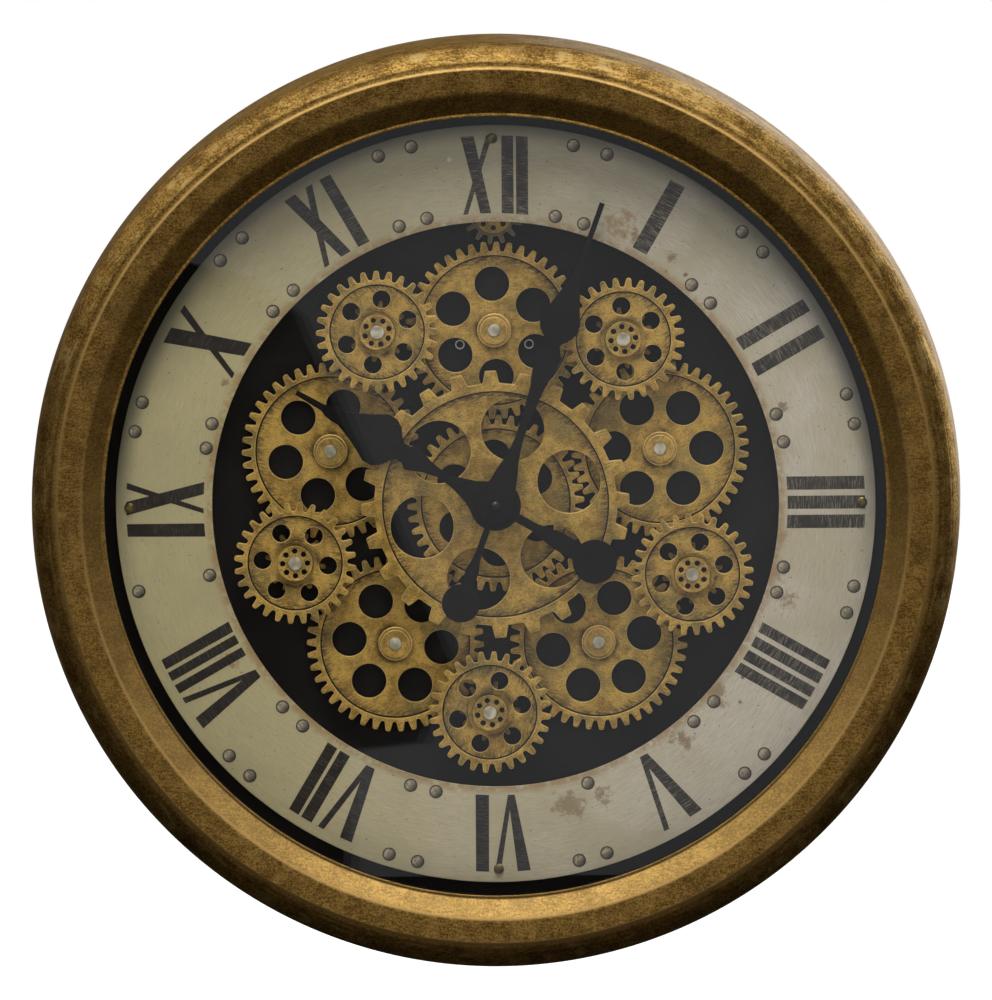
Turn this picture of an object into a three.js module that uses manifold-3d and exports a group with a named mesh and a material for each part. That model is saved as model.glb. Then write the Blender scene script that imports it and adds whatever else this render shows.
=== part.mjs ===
// Skeleton wall clock with a train of turning gears behind the hands.
//
// Sizes are in millimetres and angles in degrees. The clock is drawn as its owner sees it: x to the right, y
// up and z out of the wall, with the origin on the axis of the hands in the plane of the wall. The exported
// group stands it up: +Z is up and the face looks along -Y.
//
// The front is built outward from the gear train (train, dial ring, black gap, bezel) and forward from the
// wall (back cover, movement, plate, gears, dial, hands, glass, bezel lip), so each size moves all that rests
// on it.

import * as THREE from "three";
import { mergeVertices } from "three/addons/utils/BufferGeometryUtils.js";
import Module from "manifold-3d";

// Seats and running fits
const gap = 0.3;

// Gear train, seen from the front
const toothModule = 2.03;
const wheelTeeth = 42;
const pinionTeeth = 14;
const smallTeeth = 28;
const centreTeeth = 24;
const wheelCount = 5;
const firstWheelAngle = 90;
const meshPlay = 0.5;
const wheelAddendum = 1.15;
const wheelDedendum = 2.8;
const pinionAddendum = 0.8;
const pinionDedendum = 3.3;
const wheelRootShare = 0.83;
const wheelTipShare = 0.21;
const pinionRootShare = 0.56;
const pinionTipShare = 0.24;
const smallRootShare = 0.8;
const smallTipShare = 0.25;
const centreRootShare = 0.5;
const centreTipShare = 0.3;
const smallTipRadius = 30.2;
const smallToothDepth = 4.1;
const centreGearSpace = 6.7;
const centreToothDepth = 6.1;

// How far each gear has turned when the clock is as photographed, counter-clockwise
const sunTurn = 1.95;
const wheelTurns = [2.3, 29.8, -20, 24.6, -16.5];
const smallTurns = [-38.1, 32.9, 16.6, 72.5, -5.1];
const centreTurn = 16.7;

// Castings
const wheelThick = 4;
const wheelWeb = 2.4;
const wheelRim = 2.9;
const wheelHoleRadius = 8.4;
const wheelHoleCircle = 22.8;
const wheelBossRadius = 8.3;
const wheelBossRise = 1.5;
const smallThick = 3.5;
const smallWeb = 2.3;
const smallRim = 2.7;
const smallHoleRadius = 4.4;
const smallHoleCircle = 16.2;
const smallSeatWidth = 2;
const centreThick = 4;
const centreWeb = 2.4;
const centreRim = 4;
const centreHoleRadius = 15.5;
const centreHoleCircle = 37.8;
const centreBossRadius = 9;
const centreBossRise = 0.6;
const holeCount = 6;
const pinionThick = 5.2;
const pinionHubRadius = 8.8;
const pinionHubRise = 1.5;
const drivePinionHubRise = 1.2;
const gearLayerSpace = 2.5;

// Arbors that the wheels turn on
const pinRadius = 2.9;
const pinRise = 0.6;
const collarRadius = 6;
const collarHeight = 2.9;
const shankRadius = 2;

// Centre tube, pipe and arbor of the hands
const minuteArborRadius = 2;
const minuteTenonRadius = 1.2;
const minuteTenonLength = 3;
const hourPipeWall = 0.7;
const hourPipeRise = 1;
const centreTubeWall = 1.2;
const tubeRimWidth = 1.5;
const tubeRimThick = 1.2;
const movementNutAcross = 14;

// Hands
const handThick = 0.8;
const hourHandLift = 2.3;
const minuteHandLift = 2.6;
const minuteHandTurn = -19.9;
const hourHandTurn = -300.1;
const minuteHandLength = 157.5;
const hourHandLength = 112.3;
const minuteHubRadius = 9;
const hourHubRadius = 12.5;
const minuteTailReach = 50.9;
const hourTailReach = 56.1;
const minuteTailDisc = 9.4;
const hourTailDisc = 10.9;
const handNutRadius = 2.6;
const handNutHeight = 3.1;
const handNutRoof = 0.8;

// Each station of a blade: how far out it lies, as a share of the hand's length, and its half width
const minuteBlade = [
  [0.05, 7.4],
  [0.11, 5.4],
  [0.15, 3.7],
  [0.187, 2.7],
  [0.224, 2.05],
  [0.271, 2.25],
  [0.337, 2.75],
  [0.389, 3.4],
  [0.448, 5.4],
  [0.498, 6.5],
  [0.536, 3.7],
  [0.551, 5.4],
  [0.57, 8.3],
  [0.592, 9.8],
  [0.62, 9.6],
  [0.648, 7.85],
  [0.682, 5.9],
  [0.707, 4.7],
  [0.747, 2.9],
  [0.816, 1.7],
  [0.878, 1.35],
  [1, 1.3],
];
const hourBlade = [
  [0.05, 10.5],
  [0.122, 5.9],
  [0.192, 3.4],
  [0.271, 1.85],
  [0.341, 3.2],
  [0.424, 6.9],
  [0.45, 4.4],
  [0.481, 4.4],
  [0.502, 6.9],
  [0.524, 10.5],
  [0.559, 13],
  [0.603, 13],
  [0.664, 9.1],
  [0.734, 5.4],
  [0.773, 3.7],
  [0.804, 3.7],
  [0.839, 3.1],
  [0.865, 1.7],
  [0.908, 1.55],
  [1, 1.2],
];
// The same for a tail, as a share of the reach to the middle of its disc
const minuteTail = [
  [0, 1.55],
  [0.48, 1.55],
  [0.58, 2.2],
  [0.66, 3.2],
  [1, 3.2],
];
const hourTail = [
  [0, 2.2],
  [0.39, 2.2],
  [0.48, 2.95],
  [0.6, 4.4],
  [1, 4.65],
];

// Dial ring
const faceMargin = 6.2;
const dialWidth = 47.4;
const dialThick = 1.5;
const dialLift = 0.5;
const dialScrewInset = 6.7;
const dialScrewCount = 4;
const dialScrewHeadRadius = 2.7;
const dialScrewHeadHeight = 1.6;
const dialScrewRadius = 1.3;
const dialScrewLength = 8;
const postRadius = 5;

// Glass and the liner under it
const blackGap = 4.8;
const glassLap = 11.5;
const glassThick = 3;
const glassHeadroom = 2.1;
const linerWall = 3.5;

// Bezel frame: lip, slope, flat band, rounded band, side and the fold at the wall
const frameWall = 2;
const lipThick = 1.2;
const slopeWidth = 11;
const slopeRise = 4.2;
const flatBandWidth = 12.8;
const flatBandRise = 0.8;
const roundBandWidth = 12.2;
const roundBandDepth = 14;
const roundBandSteps = 3;
const sideTaper = 2.5;
const sideStraight = 14;
const foldWidth = 6;
const foldHeight = 4;
const screwBossRadius = 4.2;
const screwBossHeight = 24;
const screwBossSpace = 1.8;
const screwBossCount = 4;
const firstBossAngle = 45;

// Base plate
const plateThick = 2;
const plateOverlap = 5.4;

// Back cover
const coverSetback = 8;
const coverThick = 2.5;
const movementSpace = 19.2;
const coverRingWall = 3;
const coverRingInset = 1;
const windowMargin = 3;
const backScrewHeadRadius = 3.8;
const backScrewHeadHeight = 1.8;
const backScrewRadius = 1.6;
const backScrewLength = 14;

// Hanger
const hangerWidth = 60;
const hangerHeight = 30;
const hangerThick = 1.5;
const hangerDrop = 5;
const keyholeRadius = 5.5;
const keyholeSlotRadius = 2.5;
const keyholeRise = 10;
const keyholeFoot = 10;
const hangerWindowWidth = 20;
const hangerWindowMargin = 2;
const stakeRadius = 1.6;
const stakeInset = 6;
const stakeRise = 0.8;

// Quartz movement
const caseSize = 56;
const caseDepth = 16.7;
const cellLength = 49.3;
const cellRadius = 7.1;
const cellNubRadius = 2.7;
const cellNubLength = 1;
const bayMargin = 0.6;
const caseBayEdge = 2;
const knobRadius = 5;
const knobThick = 2.2;
const knobStemRadius = 1.6;
const knobStemLength = 3;
const knobAcross = 12;
const knobUp = 10;

// Gear motor
const motorWidth = 30;
const motorHeight = 66;
const motorDepth = 13.7;
const motorHeadroom = 7.4;
const motorEarWidth = 42;
const motorEarHeight = 12;
const motorEarThick = 2.2;
const motorScrewAcross = 34;
const motorScrewHeadRadius = 2.5;
const motorScrewHeadHeight = 1.2;
const motorScrewRadius = 1.5;
const motorScrewLength = 4;

// Battery box of the motor and its switch
const boxWall = 2.5;
const boxDepth = 18;
const boxDrop = 95;
const cellPitch = 15.4;
const switchEndWidth = 13;
const switchWidth = 4.4;
const switchLength = 6.4;
const switchTravel = 4;
const switchDepth = 4.1;
const switchStandout = 2;

// Sides of the polygons that stand for round shapes
const frameSides = 48;
const hiddenRingSides = 24;
const wheelSides = 24;
const hubSides = 16;
const holeSides = 12;
const smallSides = 8;
const nutSides = 6;

// How far a cutter runs past the face that it cuts
const past = 1;

// Worked out: heights above the wall
const coverFront = coverSetback + coverThick;
const plateBack = coverFront + movementSpace + gap;
const plateFront = plateBack + plateThick;
const collarBack = plateFront + gap;
const collarFront = collarBack + collarHeight;
const wheelBack = collarFront + gap;
const wheelFront = wheelBack + wheelThick;
const wheelBossFront = wheelFront + wheelBossRise;
const upperBack = wheelBossFront + gearLayerSpace;
const smallFront = upperBack + smallThick;
const pinionHubFront = smallFront + pinionHubRise;
const centreFront = upperBack + centreThick;
const centreBossFront = centreFront + centreBossRise;
const tubeFront = centreBossFront + gap + tubeRimThick;
const dialBack = centreFront + dialLift;
const dialFront = dialBack + dialThick;
const hourHandBack = dialFront + hourHandLift;
const hourHandFront = hourHandBack + handThick;
const minuteHandBack = hourHandFront + minuteHandLift;
const minuteHandFront = minuteHandBack + handThick;
const handNutBack = minuteHandFront + gap;
const handNutFront = handNutBack + handNutHeight;
const glassBack = handNutFront + glassHeadroom;
const lipBack = glassBack + glassThick + gap;
const lipFront = lipBack + lipThick;
const creaseFront = lipFront + slopeRise;
const crestFront = creaseFront + flatBandRise;
const sideFront = crestFront - roundBandDepth;
const movementFront = plateBack - gap;

// Worked out: radii and distances from the middle
const wheelPitchRadius = (toothModule * wheelTeeth) / 2;
const pinionPitchRadius = (toothModule * pinionTeeth) / 2;
const wheelOrbit = 2 * wheelPitchRadius;
const pinionDistance = wheelPitchRadius + pinionPitchRadius + meshPlay;
const smallOrbit = Math.hypot(wheelOrbit, pinionDistance);
const driveHeight = wheelOrbit + pinionDistance;
const centreTipRadius = smallOrbit - smallTipRadius - centreGearSpace;
const dialInnerRadius = smallOrbit + smallTipRadius + faceMargin;
const dialRadius = dialInnerRadius + dialWidth;
const screwCircle = dialRadius - dialScrewInset;
const lipRadius = dialRadius + blackGap;
const glassRadius = lipRadius + glassLap;
const collarInner = glassRadius + 2 * gap;
const collarOuter = collarInner + frameWall;
const linerRadius = collarInner - 2 * gap;
const creaseRadius = lipRadius + slopeWidth;
const crestRadius = creaseRadius + flatBandWidth;
const sideFrontRadius = crestRadius + roundBandWidth;
const rimRadius = sideFrontRadius + sideTaper;
const foldRadius = rimRadius - foldWidth;
const plateRadius = collarOuter + plateOverlap;
const screwBossCircle = plateRadius + screwBossSpace + screwBossRadius;
const coverRadius = foldRadius - gap;
const coverRingOuter = plateRadius - coverRingInset;
const coverRingInner = coverRingOuter - coverRingWall;
const pinBore = pinRadius + gap;
const hourPipeBore = minuteArborRadius + gap;
const hourPipeRadius = hourPipeBore + hourPipeWall;
const centreTubeBore = hourPipeRadius + gap;
const centreTubeRadius = centreTubeBore + centreTubeWall;
const centreBore = centreTubeRadius + gap;
const hangerTop = coverRingInner - hangerDrop;
const hangerBottom = hangerTop - hangerHeight;
const keyholeHeight = hangerBottom + keyholeFoot;
const hangerBack = coverFront + gap;
const hangerFront = hangerBack + hangerThick;
const motorTop = driveHeight + motorHeadroom;
const motorBottom = motorTop - motorHeight;
const motorScrewHeight = motorBottom - motorEarHeight / 2;
const bayLength = cellLength + cellNubLength + 2 * bayMargin;
const caseBayHalf = cellRadius + bayMargin;
const caseBayDrop = caseSize / 2 - caseBayEdge - caseBayHalf;
const caseBack = movementFront - caseDepth;
const boxBack = movementFront - boxDepth;
const boxBayHalf = cellPitch / 2 + cellRadius + bayMargin;
const boxLeft = -bayLength / 2 - boxWall;
const boxRight = bayLength / 2 + boxWall + switchEndWidth;
const boxHalf = boxBayHalf + boxWall;
const switchAcross = bayLength / 2 + boxWall + switchEndWidth / 2;
const switchSlot = switchLength + switchTravel + 2 * gap;
const switchRest = -boxDrop - switchTravel / 2;

// Colours and finishes
function finish(color, roughness, metalness) {
  return new THREE.MeshStandardMaterial({ color, roughness, metalness });
}
const antiqueGold = finish("#9a7430", 0.38, 1);
const castGold = finish("#8a6d33", 0.45, 1);
const paleSteel = finish("#c9c8c4", 0.3, 1);
const brass = finish("#b8944a", 0.35, 1);
const blackPaint = finish("#1c1b1a", 0.6, 0);
const blackPlastic = finish("#242322", 0.55, 0);
const handBlack = finish("#2b2828", 0.5, 0);
const creamPaint = finish("#b3ab8a", 0.6, 0);
const cellWrap = finish("#6a7074", 0.4, 0.3);
const clearGlass = finish("#e8eeee", 0.05, 0);
clearGlass.transparent = true;
clearGlass.opacity = 0.15;

const kernel = await Module();
kernel.setup();

// A closed geometry as a solid that can be joined and cut
function toSolid(geometry) {
  const bare = geometry.clone();
  bare.deleteAttribute("normal");
  bare.deleteAttribute("uv");
  const merged = mergeVertices(bare);
  return new kernel.Manifold(
    new kernel.Mesh({
      numProp: 3,
      vertProperties: merged.attributes.position.array,
      triVerts: new Uint32Array(merged.index.array),
    }),
  );
}

function toGeometry(solid) {
  const mesh = solid.getMesh();
  const geometry = new THREE.BufferGeometry();
  geometry.setAttribute("position", new THREE.BufferAttribute(mesh.vertProperties, 3));
  geometry.setIndex(new THREE.BufferAttribute(mesh.triVerts, 1));
  geometry.computeVertexNormals();
  return geometry;
}

function joined(...geometries) {
  return toGeometry(geometries.map(toSolid).reduce((whole, part) => whole.add(part)));
}

function cut(geometry, ...cutters) {
  return toGeometry(cutters.map(toSolid).reduce((rest, cutter) => rest.subtract(cutter), toSolid(geometry)));
}

function polar(radius, angle) {
  const radians = THREE.MathUtils.degToRad(angle);
  return new THREE.Vector2(radius * Math.cos(radians), radius * Math.sin(radians));
}

function circle(radius, sides, centre = new THREE.Vector2()) {
  return Array.from({ length: sides }, (_, i) => polar(radius, (i * 360) / sides).add(centre));
}

// Places spaced evenly round a circle
function ringOf(count, radius, firstAngle) {
  return Array.from({ length: count }, (_, i) => polar(radius, firstAngle + (i * 360) / count));
}

// A flat outline given thickness, from one height above the wall to another
function slab(points, back, front) {
  const geometry = new THREE.ExtrudeGeometry(new THREE.Shape(points), {
    depth: front - back,
    bevelEnabled: false,
  });
  return geometry.translate(0, 0, back);
}

function rod(radius, back, front, sides, centre) {
  return slab(circle(radius, sides, centre), back, front);
}

function tube(outer, inner, back, front, sides) {
  return cut(rod(outer, back, front, sides), rod(inner, back - past, front + past, sides));
}

function block(left, right, bottom, top, back, front) {
  const geometry = new THREE.BoxGeometry(right - left, top - bottom, front - back);
  return geometry.translate((left + right) / 2, (bottom + top) / 2, (back + front) / 2);
}

// A profile of radius and height turned round the z axis, its points counter-clockwise
function turned(profile, sides) {
  const points = profile.map(([radius, height]) => new THREE.Vector2(radius, height));
  return new THREE.LatheGeometry(points, sides).rotateX(Math.PI / 2);
}

// Outline of a gear with its first tooth on the x axis; the shares are tooth widths as parts of the pitch
function gearOutline(teeth, rootRadius, tipRadius, rootShare, tipShare) {
  const pitch = 360 / teeth;
  const corners = [
    [rootRadius, -rootShare / 2],
    [tipRadius, -tipShare / 2],
    [tipRadius, tipShare / 2],
    [rootRadius, rootShare / 2],
  ];
  const points = [];
  for (let tooth = 0; tooth < teeth; tooth += 1) {
    for (const [radius, share] of corners) {
      points.push(polar(radius, (tooth + share) * pitch));
    }
  }
  return points;
}

// A cast gear with a web sunk behind its rim and boss, round holes in the web, and its back at height 0
function castGear(outline, size) {
  const sunk = cut(
    rod(size.rimRadius, size.web, size.thick + past, wheelSides),
    rod(size.bossRadius, 0, size.thick + 2 * past, hubSides),
  );
  const boss = rod(size.bossRadius, 0, size.thick + size.bossRise, hubSides);
  const holes = ringOf(holeCount, size.holeCircle, size.firstHole).map((centre) =>
    rod(size.holeRadius, -past, size.thick + past, size.holeSides, centre),
  );
  const bore = rod(size.bore, -past, size.thick + size.bossRise + past, size.boreSides);
  return cut(joined(cut(slab(outline, 0, size.thick), sunk), boss), ...holes, bore);
}

// A turn near the wanted one that puts a tooth of one gear in a gap of the other: the other's centre lies
// at the angle, and the gear asked for has the given teeth
function meshedTurn(wanted, teeth, otherTurn, otherTeeth, angleToOther) {
  const pitch = 360 / teeth;
  const otherPitch = 360 / otherTeeth;
  const facing = angleToOther + 180;
  const share = 0.5 - (otherTurn - facing) / otherPitch;
  const turn = angleToOther + share * pitch;
  return turn + Math.round((wanted - turn) / pitch) * pitch;
}

const face = new THREE.Group();
face.rotation.x = Math.PI / 2;

function place(name, geometry, material, centre = new THREE.Vector2(), height = 0, turn = 0) {
  const mesh = new THREE.Mesh(geometry, material);
  mesh.name = name;
  mesh.position.set(centre.x, centre.y, height);
  mesh.rotation.z = THREE.MathUtils.degToRad(turn);
  face.add(mesh);
}

// Bezel frame with its four screw bosses
function bezelFrame() {
  const roundBand = Array.from({ length: roundBandSteps + 1 }, (_, step) => {
    const reach = polar(1, (90 * step) / roundBandSteps);
    return [crestRadius + roundBandWidth * reach.x, sideFront + roundBandDepth * reach.y];
  });
  const shell = turned(
    [
      [rimRadius, 0],
      [rimRadius, sideStraight],
      ...roundBand,
      [creaseRadius, creaseFront],
      [lipRadius, lipFront],
      [lipRadius, lipBack],
      [collarInner, lipBack],
      [collarInner, plateFront + gap],
      [collarOuter, plateFront + gap],
      [collarOuter, creaseFront - frameWall],
      [crestRadius, crestFront - frameWall],
      [sideFrontRadius - frameWall, sideFront],
      [rimRadius - frameWall, foldHeight],
      [foldRadius, foldHeight],
      [foldRadius, 0],
      [rimRadius, 0],
    ],
    frameSides,
  );
  const bossBack = coverFront + gap;
  const bossFront = bossBack + screwBossHeight;
  const wallReach = rimRadius - frameWall;
  const outline = [
    new THREE.Vector2(wallReach, -screwBossRadius),
    new THREE.Vector2(wallReach, screwBossRadius),
    ...Array.from({ length: smallSides / 2 + 1 }, (_, i) =>
      polar(screwBossRadius, 90 + (i * 360) / smallSides).add(new THREE.Vector2(screwBossCircle, 0)),
    ),
  ];
  const bosses = Array.from({ length: screwBossCount }, (_, i) =>
    slab(outline, bossBack, bossFront).rotateZ(
      THREE.MathUtils.degToRad(firstBossAngle + (i * 360) / screwBossCount),
    ),
  );
  const bores = ringOf(screwBossCount, screwBossCircle, firstBossAngle).map((centre) =>
    rod(backScrewRadius + gap, bossBack - past, coverSetback + backScrewLength + past, smallSides, centre),
  );
  return cut(joined(shell, ...bosses), ...bores);
}

// Plate that carries the train, with moulded posts for the dial
function basePlate() {
  const posts = ringOf(dialScrewCount, screwCircle, 0);
  const body = joined(
    rod(plateRadius, plateBack, plateFront, frameSides),
    ...posts.map((centre) => rod(postRadius, plateBack, dialBack - gap, smallSides, centre)),
  );
  const screwHoleBack = dialFront - dialScrewLength - past;
  const through = (radius, centre) => rod(radius, plateBack - past, plateFront + past, smallSides, centre);
  return cut(
    body,
    ...posts.map((centre) => rod(dialScrewRadius + gap, screwHoleBack, dialBack + past, smallSides, centre)),
    ...wheelCentres.map((centre) => through(shankRadius + gap, centre)),
    ...smallCentres.map((centre) => through(shankRadius + gap, centre)),
    ...motorScrews.map((centre) => through(motorScrewRadius + gap, centre)),
    through(pinBore, driveCentre),
    rod(centreBore, plateBack - past, plateFront + past, holeSides),
  );
}

function dialRing() {
  return cut(
    tube(dialRadius, dialInnerRadius, dialBack, dialFront, frameSides),
    ...ringOf(dialScrewCount, screwCircle, 0).map((centre) =>
      rod(dialScrewRadius + gap, dialBack - past, dialFront + past, smallSides, centre),
    ),
  );
}

// A screw with its head to the front, standing at height 0 under its head
function screw(headRadius, headHeight, radius, length) {
  return turned(
    [
      [0, -length],
      [radius, -length],
      [radius, 0],
      [headRadius, 0],
      [headRadius, headHeight / 2],
      [headRadius / 2, headHeight],
      [0, headHeight],
    ],
    smallSides,
  );
}

// Steel pin with a collar under its wheel and a shank riveted through the plate
function arbor(top) {
  return turned(
    [
      [0, plateBack],
      [shankRadius, plateBack],
      [shankRadius, collarBack],
      [collarRadius, collarBack],
      [collarRadius, collarFront],
      [pinRadius, collarFront],
      [pinRadius, top],
      [0, top],
    ],
    smallSides,
  );
}

// Pinion with a plain hub in front of its teeth
function pinion(hubFront) {
  const teeth = slab(
    gearOutline(
      pinionTeeth,
      pinionPitchRadius - pinionDedendum,
      pinionPitchRadius + pinionAddendum,
      pinionRootShare,
      pinionTipShare,
    ),
    wheelBack,
    wheelBack + pinionThick,
  );
  return joined(teeth, rod(pinionHubRadius, wheelBack, hubFront, hubSides));
}

function smallPinion() {
  return cut(pinion(pinionHubFront), rod(pinBore, wheelBack - past, pinionHubFront + past, holeSides));
}

function drivePinion() {
  const hubFront = wheelBack + pinionThick + drivePinionHubRise;
  return joined(pinion(hubFront), rod(pinRadius, plateBack, wheelBack + past, smallSides));
}

// Bush of the movement that the sun gear and the centre gear turn on
function centreTube() {
  return turned(
    [
      [centreTubeBore, plateBack],
      [centreTubeRadius, plateBack],
      [centreTubeRadius, tubeFront - tubeRimThick],
      [centreTubeRadius + tubeRimWidth, tubeFront - tubeRimThick],
      [centreTubeRadius + tubeRimWidth, tubeFront],
      [centreTubeBore, tubeFront],
      [centreTubeBore, plateBack],
    ],
    holeSides,
  );
}

function movementNut() {
  const corner = movementNutAcross / 2 / Math.cos(Math.PI / 6);
  return cut(
    rod(corner, collarBack, collarFront, nutSides),
    rod(centreBore, collarBack - past, collarFront + past, holeSides),
  );
}

function minuteArbor() {
  const shoulder = minuteHandBack - gap;
  return turned(
    [
      [0, plateBack],
      [minuteArborRadius, plateBack],
      [minuteArborRadius, shoulder],
      [minuteTenonRadius, shoulder],
      [minuteTenonRadius, shoulder + minuteTenonLength],
      [0, shoulder + minuteTenonLength],
    ],
    smallSides,
  );
}

// A hand pointing up, with its back at height 0
function hand(length, blade, tail, tailReach, discRadius, hubRadius, bore) {
  const side = (stations, reach) => stations.map(([share, half]) => [share * reach, half]);
  const strip = (stations) => [
    ...stations.map(([along, half]) => new THREE.Vector2(half, along)),
    ...stations.map(([along, half]) => new THREE.Vector2(-half, along)).reverse(),
  ];
  const body = joined(
    slab(strip(side(blade, length)), 0, handThick),
    slab(strip(side(tail, -tailReach)), 0, handThick),
    rod(hubRadius, 0, handThick, hubSides),
    rod(discRadius, 0, handThick, hubSides, new THREE.Vector2(0, -tailReach)),
  );
  return cut(body, rod(bore, -past, handThick + past, holeSides));
}

function handNut() {
  const domed = turned(
    [
      [0, 0],
      [handNutRadius, 0],
      [handNutRadius, handNutHeight / 2],
      [handNutRadius / 2, handNutHeight],
      [0, handNutHeight],
    ],
    holeSides,
  );
  return cut(domed, rod(minuteTenonRadius + gap, -past, handNutHeight - handNutRoof, smallSides));
}

// Tub-shaped cover with windows for the movement, the battery box and the hanger
function backCover() {
  const body = joined(
    rod(coverRadius, coverSetback, coverFront, frameSides),
    tube(coverRingOuter, coverRingInner, coverSetback + coverThick / 2, movementFront, hiddenRingSides),
    ...stakes.map((centre) =>
      rod(stakeRadius, coverSetback + coverThick / 2, hangerFront + stakeRise, smallSides, centre),
    ),
  );
  const window = (left, right, bottom, top) =>
    block(left, right, bottom, top, coverSetback - past, coverFront + past);
  const caseWindow = caseSize / 2 + windowMargin;
  const hangerWindow = hangerWindowWidth / 2;
  return cut(
    body,
    window(-caseWindow, caseWindow, -caseWindow, caseWindow),
    window(
      boxLeft - windowMargin,
      boxRight + windowMargin,
      -boxDrop - boxHalf - windowMargin,
      -boxDrop + boxHalf + windowMargin,
    ),
    window(
      -hangerWindow,
      hangerWindow,
      hangerBottom + hangerWindowMargin,
      hangerTop - hangerWindowMargin,
    ),
    ...backScrews.map((centre) =>
      rod(backScrewRadius + gap, coverSetback - past, coverFront + past, smallSides, centre),
    ),
  );
}

// Steel plate with the keyhole that goes over the screw in the wall
function hangerPlate() {
  const plate = block(-hangerWidth / 2, hangerWidth / 2, hangerBottom, hangerTop, hangerBack, hangerFront);
  const eye = new THREE.Vector2(0, keyholeHeight);
  const slotEnd = new THREE.Vector2(0, keyholeHeight + keyholeRise);
  const through = (radius, sides, centre) =>
    rod(radius, hangerBack - past, hangerFront + past, sides, centre);
  return cut(
    plate,
    through(keyholeRadius, holeSides, eye),
    through(keyholeSlotRadius, smallSides, slotEnd),
    block(
      -keyholeSlotRadius,
      keyholeSlotRadius,
      keyholeHeight,
      slotEnd.y,
      hangerBack - past,
      hangerFront + past,
    ),
    ...stakes.map((centre) => through(stakeRadius + gap, smallSides, centre)),
  );
}

// Movement with a bay for its cell and a hole for the stem of the setting knob, both open at the back
function movementCase() {
  const half = caseSize / 2;
  return cut(
    block(-half, half, -half, half, caseBack, movementFront),
    block(
      -bayLength / 2,
      bayLength / 2,
      -caseBayDrop - caseBayHalf,
      -caseBayDrop + caseBayHalf,
      caseBack - past,
      caseBack + 2 * caseBayHalf,
    ),
    rod(knobStemRadius + gap, caseBack - past, caseBack + knobStemLength, smallSides, knobCentre),
  );
}

// A cell lying along x, with its nub to the right
function cell() {
  return turned(
    [
      [0, -cellLength / 2],
      [cellRadius, -cellLength / 2],
      [cellRadius, cellLength / 2],
      [cellNubRadius, cellLength / 2],
      [cellNubRadius, cellLength / 2 + cellNubLength],
      [0, cellLength / 2 + cellNubLength],
    ],
    holeSides,
  ).rotateY(Math.PI / 2);
}

function settingKnob() {
  const knobFront = caseBack - gap;
  return turned(
    [
      [0, knobFront - knobThick],
      [knobRadius, knobFront - knobThick],
      [knobRadius, knobFront],
      [knobStemRadius, knobFront],
      [knobStemRadius, caseBack + knobStemLength - gap],
      [0, caseBack + knobStemLength - gap],
    ],
    holeSides,
  );
}

// Gear motor with two ears at its foot
function gearMotor() {
  const ears = block(
    -motorEarWidth / 2,
    motorEarWidth / 2,
    motorBottom - motorEarHeight,
    motorBottom + past,
    movementFront - motorEarThick,
    movementFront,
  );
  const body = block(
    -motorWidth / 2,
    motorWidth / 2,
    motorBottom,
    motorTop,
    movementFront - motorDepth,
    movementFront,
  );
  const earBack = movementFront - motorEarThick;
  const holes = motorScrews.map((centre) =>
    rod(motorScrewRadius + gap, earBack - past, movementFront + past, smallSides, centre),
  );
  return cut(joined(body, ears), ...holes);
}

// Battery box, open at the back, with a slot for the switch at its right end
function batteryBox() {
  return cut(
    block(boxLeft, boxRight, -boxDrop - boxHalf, -boxDrop + boxHalf, boxBack, movementFront),
    block(
      -bayLength / 2,
      bayLength / 2,
      -boxDrop - boxBayHalf,
      -boxDrop + boxBayHalf,
      boxBack - past,
      movementFront - boxWall,
    ),
    block(
      switchAcross - switchWidth / 2 - gap,
      switchAcross + switchWidth / 2 + gap,
      -boxDrop - switchSlot / 2,
      -boxDrop + switchSlot / 2,
      boxBack - past,
      boxBack + switchDepth + gap,
    ),
  );
}

function switchSlider() {
  return block(
    -switchWidth / 2,
    switchWidth / 2,
    -switchLength / 2,
    switchLength / 2,
    boxBack - switchStandout,
    boxBack + switchDepth,
  );
}

// Places
const wheelAngles = Array.from({ length: wheelCount }, (_, i) => firstWheelAngle - (i * 360) / wheelCount);
const wheelCentres = wheelAngles.map((angle) => polar(wheelOrbit, angle));
const smallCentres = wheelAngles.map((angle) =>
  polar(wheelOrbit, angle).add(polar(pinionDistance, angle + 90)),
);
const driveCentre = wheelCentres[0].clone().add(polar(pinionDistance, firstWheelAngle));
const backScrews = ringOf(screwBossCount, screwBossCircle, firstBossAngle);
const motorScrews = [-1, 1].map((side) => new THREE.Vector2((side * motorScrewAcross) / 2, motorScrewHeight));
const stakes = [-1, 1].map(
  (side) => new THREE.Vector2(side * (hangerWidth / 2 - stakeInset), (hangerBottom + hangerTop) / 2),
);
const knobCentre = new THREE.Vector2(knobAcross, knobUp);

// Case: frame, glass, liner, dial, plate and back
place("bezel_frame", bezelFrame(), antiqueGold);
place("glass", rod(glassRadius, glassBack, glassBack + glassThick, frameSides), clearGlass);
place(
  "spacer_ring",
  tube(linerRadius, linerRadius - linerWall, plateFront + gap, glassBack - gap, frameSides),
  blackPaint,
);
place("dial_ring", dialRing(), creamPaint);
ringOf(dialScrewCount, screwCircle, 90).forEach((centre, i) => {
  const shape = screw(dialScrewHeadRadius, dialScrewHeadHeight, dialScrewRadius, dialScrewLength);
  const hour = 12 - (i * 12) / dialScrewCount;
  place(`dial_screw_${hour}`, shape, paleSteel, centre, dialFront + gap);
});
place("base_plate", basePlate(), blackPaint);
place("back_cover", backCover(), blackPlastic);
backScrews.forEach((centre, i) => {
  const shape = screw(backScrewHeadRadius, backScrewHeadHeight, backScrewRadius, backScrewLength);
  place(`back_screw_${i + 1}`, shape.rotateX(Math.PI), paleSteel, centre, coverSetback - gap);
});
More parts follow.
